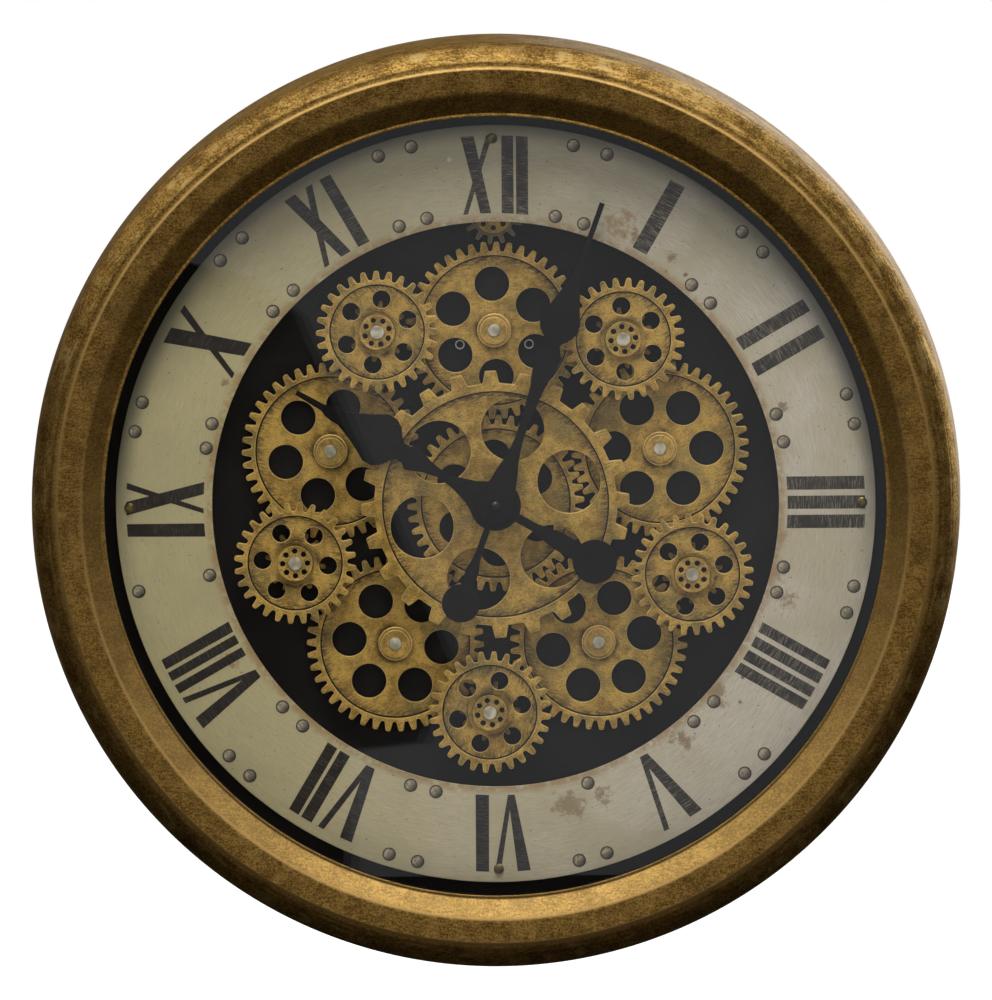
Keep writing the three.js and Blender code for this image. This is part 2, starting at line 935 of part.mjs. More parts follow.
place("hanger_plate", hangerPlate(), paleSteel);

// Movement, motor and batteries
place("movement_case", movementCase(), blackPlastic);
place("movement_nut", movementNut(), brass);
place("centre_tube", centreTube(), brass);
place(
  "movement_battery",
  cell(),
  cellWrap,
  new THREE.Vector2(-cellNubLength / 2, -caseBayDrop),
  caseBack + 2 * caseBayHalf - bayMargin - cellRadius,
);
place("setting_knob", settingKnob(), blackPlastic, knobCentre);
place("gear_motor", gearMotor(), blackPlastic);
motorScrews.forEach((centre, i) => {
  const shape = screw(motorScrewHeadRadius, motorScrewHeadHeight, motorScrewRadius, motorScrewLength);
  place(["motor_screw_left", "motor_screw_right"][i], shape, paleSteel, centre, collarBack);
});
place("battery_box", batteryBox(), blackPlastic);
[1, -1].forEach((side, i) => {
  const shape = side > 0 ? cell() : cell().rotateZ(Math.PI);
  const middle = new THREE.Vector2((-side * cellNubLength) / 2, -boxDrop + (side * cellPitch) / 2);
  const height = movementFront - boxWall - bayMargin - cellRadius;
  place(`motor_battery_${i + 1}`, shape, cellWrap, middle, height);
});
place("switch_slider", switchSlider(), paleSteel, new THREE.Vector2(switchAcross, switchRest));

// Gear train
const wheelRoot = wheelPitchRadius - wheelDedendum;
const wheelOutline = gearOutline(
  wheelTeeth,
  wheelRoot,
  wheelPitchRadius + wheelAddendum,
  wheelRootShare,
  wheelTipShare,
);
const wheelSize = {
  thick: wheelThick,
  web: wheelWeb,
  rimRadius: wheelRoot - wheelRim,
  bossRadius: wheelBossRadius,
  bossRise: wheelBossRise,
  holeRadius: wheelHoleRadius,
  holeCircle: wheelHoleCircle,
  holeSides,
  firstHole: 180 / holeCount,
  bore: pinBore,
  boreSides: holeSides,
};
place(
  "sun_gear",
  castGear(wheelOutline, { ...wheelSize, bore: centreBore }),
  castGold,
  new THREE.Vector2(),
  wheelBack,
  sunTurn,
);
const smallRoot = smallTipRadius - smallToothDepth;
const smallOutline = gearOutline(smallTeeth, smallRoot, smallTipRadius, smallRootShare, smallTipShare);
const smallSize = {
  thick: smallThick,
  web: smallWeb,
  rimRadius: smallRoot - smallRim,
  bossRadius: pinionHubRadius + smallSeatWidth,
  bossRise: 0,
  holeRadius: smallHoleRadius,
  holeCircle: smallHoleCircle,
  holeSides: smallSides,
  firstHole: 0,
  bore: pinionHubRadius + gap,
  boreSides: hubSides,
};
wheelAngles.forEach((angle, i) => {
  const wheelTurn = meshedTurn(wheelTurns[i], wheelTeeth, sunTurn, wheelTeeth, angle + 180);
  const pinionTurn = meshedTurn(0, pinionTeeth, wheelTurn, wheelTeeth, angle - 90);
  const wheel = castGear(wheelOutline, wheelSize);
  place(`large_gear_${i + 1}`, wheel, castGold, wheelCentres[i], wheelBack, wheelTurn);
  place(`large_arbor_${i + 1}`, arbor(wheelBossFront + pinRise), paleSteel, wheelCentres[i]);
  place(`pinion_${i + 1}`, smallPinion(), castGold, smallCentres[i], 0, pinionTurn);
  place(
    `small_gear_${i + 1}`,
    castGear(smallOutline, smallSize),
    castGold,
    smallCentres[i],
    upperBack,
    smallTurns[i],
  );
  place(`small_arbor_${i + 1}`, arbor(pinionHubFront + pinRise), paleSteel, smallCentres[i]);
});
const topTurn = meshedTurn(wheelTurns[0], wheelTeeth, sunTurn, wheelTeeth, firstWheelAngle + 180);
place(
  "drive_pinion",
  drivePinion(),
  castGold,
  driveCentre,
  0,
  meshedTurn(0, pinionTeeth, topTurn, wheelTeeth, firstWheelAngle + 180),
);
const centreRoot = centreTipRadius - centreToothDepth;
const centreOutline = gearOutline(
  centreTeeth,
  centreRoot,
  centreTipRadius,
  centreRootShare,
  centreTipShare,
);
const centreSize = {
  thick: centreThick,
  web: centreWeb,
  rimRadius: centreRoot - centreRim,
  bossRadius: centreBossRadius,
  bossRise: centreBossRise,
  holeRadius: centreHoleRadius,
  holeCircle: centreHoleCircle,
  holeSides: hubSides,
  firstHole: 0,
  bore: centreBore,
  boreSides: holeSides,
};
place(
  "centre_gear",
  castGear(centreOutline, centreSize),
  castGold,
  new THREE.Vector2(),
  upperBack,
  centreTurn,
);

// Hands and what turns them
place(
  "hour_pipe",
  tube(hourPipeRadius, hourPipeBore, plateBack, hourHandFront + hourPipeRise, holeSides),
  brass,
);
place("minute_arbor", minuteArbor(), paleSteel);
place(
  "hour_hand",
  hand(
    hourHandLength,
    hourBlade,
    hourTail,
    hourTailReach,
    hourTailDisc,
    hourHubRadius,
    hourPipeRadius + gap,
  ),
  handBlack,
  new THREE.Vector2(),
  hourHandBack,
  hourHandTurn,
);
place(
  "minute_hand",
  hand(
    minuteHandLength,
    minuteBlade,
    minuteTail,
    minuteTailReach,
    minuteTailDisc,
    minuteHubRadius,
    minuteTenonRadius + gap,
  ),
  handBlack,
  new THREE.Vector2(),
  minuteHandBack,
  minuteHandTurn,
);
place("hand_nut", handNut(), paleSteel, new THREE.Vector2(), handNutBack);

export default face;
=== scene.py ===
"""Looks of the skeleton wall clock: antique gold bezel and gears, a worn printed dial, black hands and glass.

Lengths are in millimetres and angles in degrees, and the clock is drawn as its owner sees it: right, up and
out of the wall. The shapes go to Blender in metres, where +Z is up and the face looks along -Y.
"""

import math

import bpy
import numpy as np
from mathutils import Matrix, Vector


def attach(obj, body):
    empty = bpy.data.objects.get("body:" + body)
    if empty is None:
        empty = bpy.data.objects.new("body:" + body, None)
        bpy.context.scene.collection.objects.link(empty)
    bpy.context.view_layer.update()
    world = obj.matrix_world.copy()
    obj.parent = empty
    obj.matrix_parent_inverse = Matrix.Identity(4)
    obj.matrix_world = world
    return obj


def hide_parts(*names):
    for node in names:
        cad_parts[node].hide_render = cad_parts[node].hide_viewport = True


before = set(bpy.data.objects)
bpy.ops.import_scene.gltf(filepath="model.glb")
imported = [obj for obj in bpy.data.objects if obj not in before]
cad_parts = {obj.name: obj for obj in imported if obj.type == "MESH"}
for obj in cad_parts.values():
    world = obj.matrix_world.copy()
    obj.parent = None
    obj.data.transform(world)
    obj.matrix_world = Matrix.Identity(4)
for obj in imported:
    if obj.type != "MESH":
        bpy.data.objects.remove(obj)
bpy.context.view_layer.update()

full_turn = 2 * math.pi

# The photograph's camera
view_azimuth = 0.6
view_elevation = 4.7
view_distance = 4000.0
view_roll = -0.52
pixels_per_mm = 2.0365
frame_height_pixels = 1000.0
sensor_long_side = 36.0
aim_right = 0.25
aim_up = 2.35

# Heights above the wall, as in the solids
pin_back = 30.0
plate_front = 32.3
pin_seat = 35.2
wheel_back = 35.5
wheel_front = 39.5
wheel_web_front = 37.9
pinion_front = 40.7
upper_back = 43.5
small_front = 47.0
small_web_front = 45.8
centre_front = 47.5
centre_web_front = 45.9
hub_front = 48.5
dial_back = 48.0
dial_front = 49.5
hour_hand_back = 51.8
minute_hand_back = 55.2
hand_thick = 0.8
liner_front = 61.2
glass_back = 61.5
glass_front = 64.5

# Gear train
wheel_teeth = 42
small_teeth = 28
centre_teeth = 24
pinion_teeth = 14
pin_radius = 2.9
pin_bore = 3.2
tube_bore = 5.2
wheel_orbit = 85.26
pinion_distance = 57.34
sun_turn = 1.95
wheel_turns = (2.3, 29.8, -20.0, 24.6, -16.5)
small_turns = (-38.1, 32.9, 16.6, 72.5, -5.1)
centre_turn = 16.7
minute_hand_turn = -19.9
hour_hand_turn = -300.1

# Inner radius of each gear's toothed rim, and the groove between the rim and the web
wheel_rim_radius = 36.93
small_rim_radius = 23.4
centre_rim_radius = 55.75
groove_wide = 0.6
groove_deep = 1.2
ledge_wide = 1.6

# Radii of the case's rings
liner_inner_radius = 199.35
glass_radius = 202.85
dial_inner_radius = 139.15
dial_outer_radius = 186.55
boss_circle = 216.85


def linear(hex_colour):
    """The linear red, green, blue and alpha of an sRGB hex colour."""
    codes = [int(hex_colour[place : place + 2], 16) / 255 for place in (1, 3, 5)]
    light = [code / 12.92 if code <= 0.04045 else ((code + 0.055) / 1.055) ** 2.4 for code in codes]
    return (*light, 1.0)


# Shapes. A shell is a pair: points, one row each of right, up and out in mm, and faces, each row four
# corners. A face with its last two corners alike is a triangle.


def polar(radius, angle):
    """Points at a distance and an angle counter-clockwise from the right: (r cos a, r sin a)."""
    turn = np.radians(angle)
    return np.stack([radius * np.cos(turn), radius * np.sin(turn)], axis=-1)


def turned(points, angle):
    """Flat points turned counter-clockwise round the middle."""
    turn = math.radians(angle)
    return points @ np.array([[math.cos(turn), math.sin(turn)], [-math.sin(turn), math.cos(turn)]])


def softened(corners, radius, steps=3, closed=True):
    """An outline with each corner replaced by a small curve: the curve leaves one side a radius before the
    corner and meets the next a radius after it, and between them it is (1-t)^2 a + 2t(1-t) corner + t^2 b.
    An open line keeps its two ends."""
    corners = np.asarray(corners, float)
    before = np.roll(corners, 1, axis=0) - corners
    after = np.roll(corners, -1, axis=0) - corners
    before_length = np.linalg.norm(before, axis=1, keepdims=True)
    after_length = np.linalg.norm(after, axis=1, keepdims=True)
    reach = np.minimum(np.reshape(radius, (-1, 1)), 0.48 * np.minimum(before_length, after_length))
    if not closed:
        reach[[0, -1]] = 0
    start = corners + before / before_length * reach
    end = corners + after / after_length * reach
    share = np.linspace(0, 1, steps + 1)[None, :, None]
    curve = (1 - share) ** 2 * start[:, None] + share**2 * end[:, None]
    curve = (curve + 2 * share * (1 - share) * corners[:, None]).reshape(-1, 2)
    if closed:
        return curve
    return curve[steps : len(curve) - steps]


def wound(rows, closed_rows=True):
    """A shell over a grid of points whose columns close on themselves: each cell between neighbouring rows
    and columns is a face, and the last row meets the first, or each end row is closed to its middle point."""
    count, columns = rows.shape[:2]
    index = np.arange(count * columns).reshape(count, columns)
    upper = index if closed_rows else index[:-1]
    lower = np.roll(index, -1, axis=0) if closed_rows else index[1:]
    cells = np.stack([upper, lower, np.roll(lower, -1, axis=1), np.roll(upper, -1, axis=1)], axis=-1)
    points = rows.reshape(-1, 3)
    faces = cells.reshape(-1, 4)
    if closed_rows:
        return points, faces
    poles = np.stack([rows[0].mean(axis=0), rows[-1].mean(axis=0)])
    first = np.full(columns, len(points))
    top = np.stack([first, index[0], np.roll(index[0], -1), np.roll(index[0], -1)], axis=-1)
    end = np.stack([first + 1, np.roll(index[-1], -1), index[-1], index[-1]], axis=-1)
    return np.concatenate([points, poles]), np.concatenate([faces, top, end])


def lathe(profile, sides=96, middle=(0.0, 0.0)):
    """A profile of radius and height turned round an axis out of the wall: each point (r, h) becomes a circle
    (r cos a, r sin a, h). A profile that starts and ends on the axis is closed there to a point."""
    profile = np.asarray(profile, float)
    solid = profile[0, 0] == 0 and profile[-1, 0] == 0
    if solid:
        profile = profile[1:-1]
    angle = np.arange(sides) * full_turn / sides
    across = profile[:, :1] * np.cos(angle) + middle[0]
    up = profile[:, :1] * np.sin(angle) + middle[1]
    out = np.repeat(profile[:, 1:], sides, axis=1)
    return wound(np.stack([across, up, out], axis=-1), closed_rows=not solid)


def tube(inner, outer, back, front):
    """Profile of a plain tube or ring, or of a disc where the inner radius is 0."""
    return [(inner, back), (outer, back), (outer, front), (inner, front)]


def at_height(outline, height):
    """A flat outline at one height."""
    return np.concatenate([outline, np.full((len(outline), 1), height)], axis=1)


def inset(outline, distance):
    """A closed outline moved inwards along its normals, each taken from the two neighbouring points."""
    along = np.roll(outline, -1, axis=0) - np.roll(outline, 1, axis=0)
    along /= np.linalg.norm(along, axis=1, keepdims=True)
    return outline + distance * np.stack([-along[:, 1], along[:, 0]], axis=1)


def holed(outer, inner, back, front, edge):
    """A flat piece with a hole: the outer and the inner outline match point by point. The section runs up the
    outer side, over the front, round the hole's rounded edge and down it, and closes along the back."""
    out_of_hole = outer - inner
    out_of_hole /= np.linalg.norm(out_of_hole, axis=1, keepdims=True)
    rows = [
        at_height(outer, back),
        at_height(outer, front),
        at_height(inner + edge * out_of_hole, front),
        at_height(inner + 0.3 * edge * out_of_hole, front - 0.3 * edge),
        at_height(inner, front - edge),
        at_height(inner, back),
    ]
    return wound(np.stack(rows))


def sector_rays(hole_circle, low_radius, high_radius, half_angle, samples=12):
    """Where rays from a hole's middle leave its share of a ring. The share lies between two circles and two
    radial lines; a ray ends at the nearest of them, and some rays end in the four corners."""
    half = math.radians(half_angle)
    outer_corner = math.atan2(high_radius * math.sin(half), high_radius * math.cos(half) - hole_circle)
    inner_corner = math.atan2(low_radius * math.sin(half), low_radius * math.cos(half) - hole_circle)
    corners = [-outer_corner, outer_corner, inner_corner, full_turn - inner_corner, full_turn - outer_corner]
    sides = [np.linspace(first, last, samples, endpoint=False) for first, last in zip(corners, corners[1:])]
    angle = np.concatenate(sides)
    with np.errstate(divide="ignore", invalid="ignore"):
        to_high = np.sqrt(high_radius**2 - (hole_circle * np.sin(angle)) ** 2) - hole_circle * np.cos(angle)
        to_low = -hole_circle * np.cos(angle) - np.sqrt(low_radius**2 - (hole_circle * np.sin(angle)) ** 2)
        to_left = hole_circle * math.sin(half) / np.sin(angle - half)
        to_right = -hole_circle * math.sin(half) / np.sin(angle + half)
    reach = np.stack([to_high, to_low, to_left, to_right])
    reach = np.where(np.isfinite(reach) & (reach > 1e-6), reach, np.inf).min(axis=0)
    return angle, reach


def ring_with_holes(low_radius, high_radius, back, front, hole_radius, hole_circle, count, first, edge):
    """A flat ring with round holes, cut into one share for each hole, so that each share is a holed piece."""
    angle, reach = sector_rays(hole_circle, low_radius, high_radius, 180 / count)
    middle = np.array([hole_circle, 0.0])
    ray = np.stack([np.cos(angle), np.sin(angle)], axis=1)
    outer = middle + ray * reach[:, None]
    inner = middle + ray * hole_radius
    turns = first + np.arange(count) * 360 / count
    return [holed(turned(outer, turn), turned(inner, turn), back, front, edge) for turn in turns]


def tooth_line(teeth, root_radius, tip_radius, root_share, tip_share, tip_round, root_round):
    """A gear's outline, first tooth to the right. One tooth is a trapezium in shares of the pitch, its
    corners softened. The line of teeth is bent round the gear: along it becomes an angle, and its height
    a radius."""
    pitch = full_turn * root_radius / teeth
    depth = tip_radius - root_radius
    half_root = root_share * pitch / 2
    half_tip = tip_share * pitch / 2
    tooth = np.array([[-half_root, 0], [-half_tip, depth], [half_tip, depth], [half_root, 0]])
    count = np.arange(teeth)
    line = tooth[None] + np.stack([count * pitch, np.zeros(teeth)], axis=1)[:, None]
    rounding = np.tile([root_round, tip_round, tip_round, root_round], teeth)
    line = line.reshape(-1, 2)
    ends = np.concatenate([line[-1:] - [teeth * pitch, 0], line, line[:1] + [teeth * pitch, 0]])
    rounding = np.concatenate([[0], rounding, [0]])
    line = softened(ends, rounding, steps=4, closed=False)[1:-1]
    angle = line[:, 0] / root_radius
    radius = root_radius + line[:, 1]
    return np.stack([radius * np.cos(angle), radius * np.sin(angle)], axis=1)


def toothed_ring(outline, low_radius, back, front, floor, edge):
    """A toothed rim: outside it follows the gear's outline with rounded edges, inside it is a circle that
    goes down past the web to a ledge under it, which leaves a narrow dark groove round the web."""
    length = np.linalg.norm(outline, axis=1, keepdims=True)
    ray = outline / length
    rows = [
        at_height(ray * (low_radius - ledge_wide), back),
        at_height(inset(outline, edge / 2), back),
        at_height(outline, back + edge / 2),
        at_height(outline, front - edge),
        at_height(inset(outline, 0.3 * edge), front - 0.3 * edge),
        at_height(inset(outline, edge), front),
        at_height(ray * (low_radius + edge), front),
        at_height(ray * (low_radius + 0.3 * edge), front - 0.3 * edge),
        at_height(ray * low_radius, front - edge),
        at_height(ray * low_radius, floor - groove_deep),
        at_height(ray * (low_radius - ledge_wide), floor - groove_deep),
    ]
    return wound(np.stack(rows))


def moved(shells, turn, middle):
    """Shells turned round their own middle and set at a place on the face."""
    placed = []
    for points, faces in shells:
        flat = turned(points[:, :2], turn) + np.asarray(middle)
        placed.append((np.concatenate([flat, points[:, 2:]], axis=1), faces))
    return placed


def outward(points, faces):
    """The faces in the order that makes the volume they enclose come out positive."""
    corner = points - points.mean(axis=0)
    a, b, c, d = (corner[faces[:, place]] for place in range(4))
    volume = np.einsum("ij,ij->i", a, np.cross(b, c) + np.cross(c, d)).sum()
    return faces if volume > 0 else faces[:, ::-1]


def world_points(points):
    """Right, up and out in mm as Blender's x, y and z in metres: (right, -out, up) / 1000."""
    return np.stack([points[:, 0], -points[:, 2], points[:, 1]], axis=1) / 1000


def piece(name, shells, material, body, replaced=(), own=None, sharp=32):
    """One object made of shells, in which a corner that a face names twice counts once. Where own is a turn
    and a middle, the piece carries a map of its own flat coordinates in metres, so that a pattern turns with
    it."""
    starts = np.cumsum([0] + [len(points) for points, _ in shells[:-1]])
    points = np.concatenate([points for points, _ in shells])
    faces = np.concatenate([outward(*shell) + start for shell, start in zip(shells, starts)])
    corners = [list(dict.fromkeys(face)) for face in faces.tolist()]
    mesh = bpy.data.meshes.new(name)
    mesh.from_pydata(world_points(points), [], corners)
    mesh.validate()
    mesh.shade_smooth()
    mesh.set_sharp_from_angle(angle=math.radians(sharp))
    if own is not None:
        turn, middle = own
        flat = turned(points[:, :2] - np.asarray(middle), -turn) / 1000
        chart = mesh.uv_layers.new(name="own")
        chart.data.foreach_set("uv", flat[np.concatenate(corners)].astype(np.float32).ravel())
    mesh.materials.append(material)
    made = bpy.data.objects.new(name, mesh)
    bpy.context.scene.collection.objects.link(made)
    flat_faces = made.modifiers.new("flat_faces", "WEIGHTED_NORMAL")
    flat_faces.mode = "FACE_AREA"
    flat_faces.keep_sharp = True
    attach(made, body)
    if replaced:
        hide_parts(*replaced)
    return made


# Materials

# Shader nodes in plain words: Blender's name, its settings, the inputs that values go to, and the output
node_kinds = {
    "place": ("TexCoord", {}, (), "Object"),
    "facing": ("TexCoord", {}, (), "Normal"),
    "own map": ("UVMap", {"uv_map": "own"}, (), 0),
    "light path": ("LightPath", {}, (), 0),
    "noise": ("TexNoise", {}, ("Vector", "Scale", "Detail", "Roughness"), 0),
    "cells": ("TexVoronoi", {}, ("Vector", "Scale"), "Distance"),
    "ramp": ("MapRange", {"interpolation_type": "SMOOTHSTEP"}, (0, 1, 2), 0),
    "spread": ("MapRange", {}, (0, 1, 2, 3, 4), 0),
    "times": ("Math", {"operation": "MULTIPLY"}, (0, 1), 0),
    "times and plus": ("Math", {"operation": "MULTIPLY_ADD"}, (0, 1, 2), 0),
    "minus": ("Math", {"operation": "SUBTRACT"}, (0, 1), 0),
    "without sign": ("Math", {"operation": "ABSOLUTE"}, (0,), 0),
    "greater": ("Math", {"operation": "MAXIMUM"}, (0, 1), 0),
    "parts": ("SeparateXYZ", {}, (0,), 0),
    "vector": ("CombineXYZ", {}, (0, 1, 2), 0),
    "length": ("VectorMath", {"operation": "LENGTH"}, (0,), "Value"),
    "distance": ("VectorMath", {"operation": "DISTANCE"}, (0, 1), "Value"),
    "direction": ("VectorMath", {"operation": "NORMALIZE"}, (0,), 0),
    "stretch": ("VectorMath", {"operation": "SCALE"}, (0, "Scale"), 0),
    "sum": ("VectorMath", {"operation": "ADD"}, (0, 1), 0),
    "mapping": ("Mapping", {}, ("Vector", "Rotation", "Scale"), 0),
    "mix": ("Mix", {"data_type": "RGBA"}, (0, 6, 7), 2),
    "bump": ("Bump", {}, ("Height", "Distance"), 0),
    "surface": (
        "BsdfPrincipled",
        {},
        ("Base Color", "Metallic", "Roughness", "Specular IOR Level", "Normal"),
        0,
    ),
    "clear surface": ("BsdfPrincipled", {}, ("Base Color", "Transmission Weight", "Roughness", "IOR"), 0),
    "nothing": ("BsdfTransparent", {}, (), 0),
    "matt": ("BsdfDiffuse", {}, (0,), 0),
    "glow": ("Emission", {}, (0, 1), 0),
    "sky": ("Background", {}, (0, 1), 0),
    "mixed surfaces": ("MixShader", {}, (0, 1, 2), 0),
    "both surfaces": ("AddShader", {}, (0, 1), 0),
    "material output": ("OutputMaterial", {}, (0,), 0),
    "world output": ("OutputWorld", {}, (0,), 0),
}


def add(tree, kind, *values, output=None):
    """Adds one shader node and gives back its output, or another one asked for by name. The values go to the
    inputs of its kind in turn: each is a plain value, a hex colour, another node's output, or None, which
    leaves that input alone."""
    blender_name, settings, inputs, usual_output = node_kinds[kind]
    node = tree.nodes.new(f"ShaderNode{blender_name}")
    for option, setting in settings.items():
        setattr(node, option, setting)
    for place, value in zip(inputs, values):
        if isinstance(value, bpy.types.NodeSocket):
            tree.links.new(value, node.inputs[place])
        elif value is not None:
            node.inputs[place].default_value = linear(value) if isinstance(value, str) else value
    if len(node.outputs) > 0:
        return node.outputs[output or usual_output]


def begun(name):
    """A new material without nodes, and its node tree."""
    material = bpy.data.materials.new(name)
    material.use_nodes = True
    material.node_tree.nodes.clear()
    return material, material.node_tree


def finished(material, colour, metallic=0.0, roughness=0.5, gloss=0.5, relief=None, deep=0.0):
    """Gives a material its surface and hands it back. Relief is a height from 0 to 1, so many mm deep."""
    tree = material.node_tree
    normal = add(tree, "bump", relief, deep / 1000) if relief else None
    surface = add(tree, "surface", colour, metallic, roughness, gloss, normal)
    add(tree, "material output", surface)
    return material


def overlap(tree, *parts):
    """The share, from 0 to 1, where several parts meet: their product. A part is a number, a node's output,
    or an output with the two values at which it counts 0 and 1."""
    shares = [add(tree, "ramp", *part) if isinstance(part, tuple) else part for part in parts]
    product = shares[0]
    for share in shares[1:]:
        product = add(tree, "times", product, share)
    return product


def coated(tree, colour, coats):
    """A colour with coats over it, one after another. A coat is its colour and the parts that meet where it
    shows, often with a number for how strong it is there."""
    for over, *parts in coats:
        colour = add(tree, "mix", overlap(tree, *parts), colour, over)
    return colour


def ring_coordinates(tree, across):
    """Coordinates that follow circles round the clock's axis: the direction from the axis times 0.2 m, and
    the distance from it, with height, stretched by the number given, so that patterns run along the circles.
    The distance comes second."""
    place = add(tree, "place")
    right, inward, up = (add(tree, "parts", place, output=axis) for axis in "XYZ")
    flat = add(tree, "vector", right, 0.0, up)
    distance = add(tree, "length", flat)
    along = add(tree, "stretch", add(tree, "direction", flat), 0.2)
    reach = add(tree, "times", add(tree, "minus", distance, inward), across)
    return add(tree, "sum", along, add(tree, "vector", 0.0, reach, 0.0)), distance


def brushed(tree, place, turn, along, finer):
    """Noise in strokes: in coordinates turned by an angle, features are about a metre divided by the scale
    long and so many times narrower across. The turn is round y and z, because the face is the plane of x and
    z in the object's coordinates, and of x and y in a piece's own map."""
    angle = math.radians(turn)
    strokes = add(tree, "mapping", place, (0.0, angle, angle), (1.0, finer, finer))
    return add(tree, "noise", strokes, along, 3, 0.6)


def near(tree, distance, middle, reach):
    """How near a distance is to a given one: 1 there, and 0 from a reach away, in metres."""
    away = add(tree, "without sign", add(tree, "minus", distance, middle))
    return add(tree, "ramp", away, reach, 0.0)


def worn_and_highlit_edges(tree):
    """Where the surface turns away from the front without facing sideways: the rounded edges, which are
    painted bright both as rubbed plating and as a painted highlight.
    """
    inward = add(tree, "parts", add(tree, "facing"), output="Y")
    return overlap(tree, (inward, -0.99, -0.9), (inward, -0.1, -0.4))


def plated_gold(name, rim_radius, boss_radius, sunk=None, dull_from=None):
    """Moulded ABS plated in antique gold: rubbed bright in short diagonal strokes, green-grey and
    purple-brown where the patina stays, in clouds of 3 to 10 mm, with a grain of 0.5 mm. The proud edges are
    rubbed bright and carry a painted highlight. Painted shade darkens the groove inside the rim, a patchy
    ring round the foot of the boss, and what lies between the two heights of sunk, in mm. From the radius
    dull_from outwards, where one is given, it is grey-brown as painted shade, with pale edges as a painted
    highlight."""
    material, tree = begun(name)
    place = add(tree, "place")
    own = add(tree, "own map")
    reach = add(tree, "length", own)
    clouds = add(tree, "noise", place, 120, 5, 0.62)
    tint = add(tree, "noise", place, 65, 3, 0.6)
    grain = add(tree, "noise", place, 1400, 3, 0.7)
    strokes = brushed(tree, own, 40, 620, 5.0)
    scuffs = brushed(tree, own, -50, 300, 4.0)
    proud = worn_and_highlit_edges(tree)
    rim = rim_radius / 1000
    boss = boss_radius / 1000
    in_web = (reach, rim + 0.0001, rim)
    coats = [
        ("#cfa852", (clouds, 0.34, 0.6)),
        ("#7a7143", (tint, 0.48, 0.64), 0.6),
        ("#d8b362", (strokes, 0.54, 0.66), 0.6),
        ("#5c4725", (scuffs, 0.55, 0.68), 0.55),
        ("#55401d", (grain, 0.5, 0.64), 0.65),
        ("#453a28", (reach, rim - 0.006, rim - 0.0007), in_web, (scuffs, 0.38, 0.58), 0.75),
        # Painted shade: a patchy dark ring round the foot of the boss
        ("#3a2c16", (reach, boss + 0.003, boss + 0.0002), (reach, boss - 0.0001, boss + 0.0001),
         (clouds, 0.7, 0.35), 0.85),
        # Rubbed plating with a painted highlight on the proud edges
        ("#f2d28c", proud, 0.9),
        # Painted shade in the groove inside the rim
        ("#332611", (reach, rim - 0.0007, rim - 0.0006), in_web),
    ]
    # Painted shade on what lies between the two sunk heights: the hub's holes and the teeth under the hub
    if sunk:
        inward = add(tree, "parts", place, output="Y")
        low, high = -sunk[0] / 1000, -sunk[1] / 1000
        coats.append(("#24140c", (inward, low, low - 0.0001), (inward, high - 0.0003, high)))
    # Painted shade on the teeth outside the radius given, with a painted highlight on their edges
    if dull_from:
        dull = coated(tree, "#6a5c40", [("#b9ae92", proud, 0.9)])
        coats.append((dull, (reach, dull_from / 1000, dull_from / 1000 + 0.0002)))
    gold = coated(tree, "#957532", coats)
    rough = add(tree, "spread", clouds, 0.3, 0.7, 0.6, 0.45)
    relief = add(tree, "times and plus", grain, 0.35, strokes)
    return finished(material, gold, metallic=0.4, roughness=rough, relief=relief, deep=0.1)


def spun_gold(name, slope_end, outer_band):
    """Spun aluminium with an antique gold lacquer, rubbed by hand: a brown and gold grain of 1 mm in clouds
    of 10 mm, faint diagonal strokes, a bright crest line that is partly rubbed and partly a painted
    highlight, and on the outer band bright flecks along the ring. The slope up to the radius slope_end is
    paler in its lower half as a painted highlight, with a brighter painted highlight along its edge there."""
    material, tree = begun(name)
    place = add(tree, "place")
    up = add(tree, "parts", place, output="Z")
    rings, distance = ring_coordinates(tree, 9.0)
    flecks = add(tree, "noise", rings, 80, 6, 0.68)
    clouds = add(tree, "noise", place, 85, 5, 0.65)
    tint = add(tree, "noise", place, 45, 3, 0.6)
    grain = add(tree, "noise", place, 950, 4, 0.75)
    strokes = brushed(tree, place, 35, 300, 4.0)
    grainy = add(tree, "times and plus", clouds, 0.5, grain)
    grainy = add(tree, "times and plus", strokes, 0.45, grainy)
    # Painted highlights: the slope's outer edge in its lower half, and the crest line, which is also rubbed
    slope_highlight = overlap(tree, near(tree, distance, slope_end, 0.0014), (up, 0.14, -0.12))
    edges = add(tree, "greater", slope_highlight, near(tree, distance, outer_band - 0.0018, 0.0013))
    on_band = (distance, outer_band, outer_band + 0.003)
    gold = coated(tree, "#7f5f2c", [
        ("#e6bb6a", (grainy, 0.8, 1.17)),
        ("#6b553a", (tint, 0.52, 0.68), 0.3),
        # Painted highlight: the slope's lower half is paler
        ("#ffd88c", (distance, slope_end + 0.003, slope_end - 0.003), (up, 0.12, -0.12), 0.34),
        ("#4b3a22", near(tree, distance, outer_band + 0.0008, 0.0014), 0.5),
        # Painted highlight on the edges, partly rubbed on the crest
        ("#ffd68a", edges, 0.8),
        ("#f6d68e", (flecks, 0.53, 0.64), on_band, 0.7),
        ("#5a4628", (flecks, 0.47, 0.37), on_band, 0.55),
    ])
    rough = add(tree, "spread", grainy, 0.8, 1.16, 0.5, 0.36)
    return finished(material, gold, metallic=1.0, roughness=rough, relief=grainy, deep=0.07)


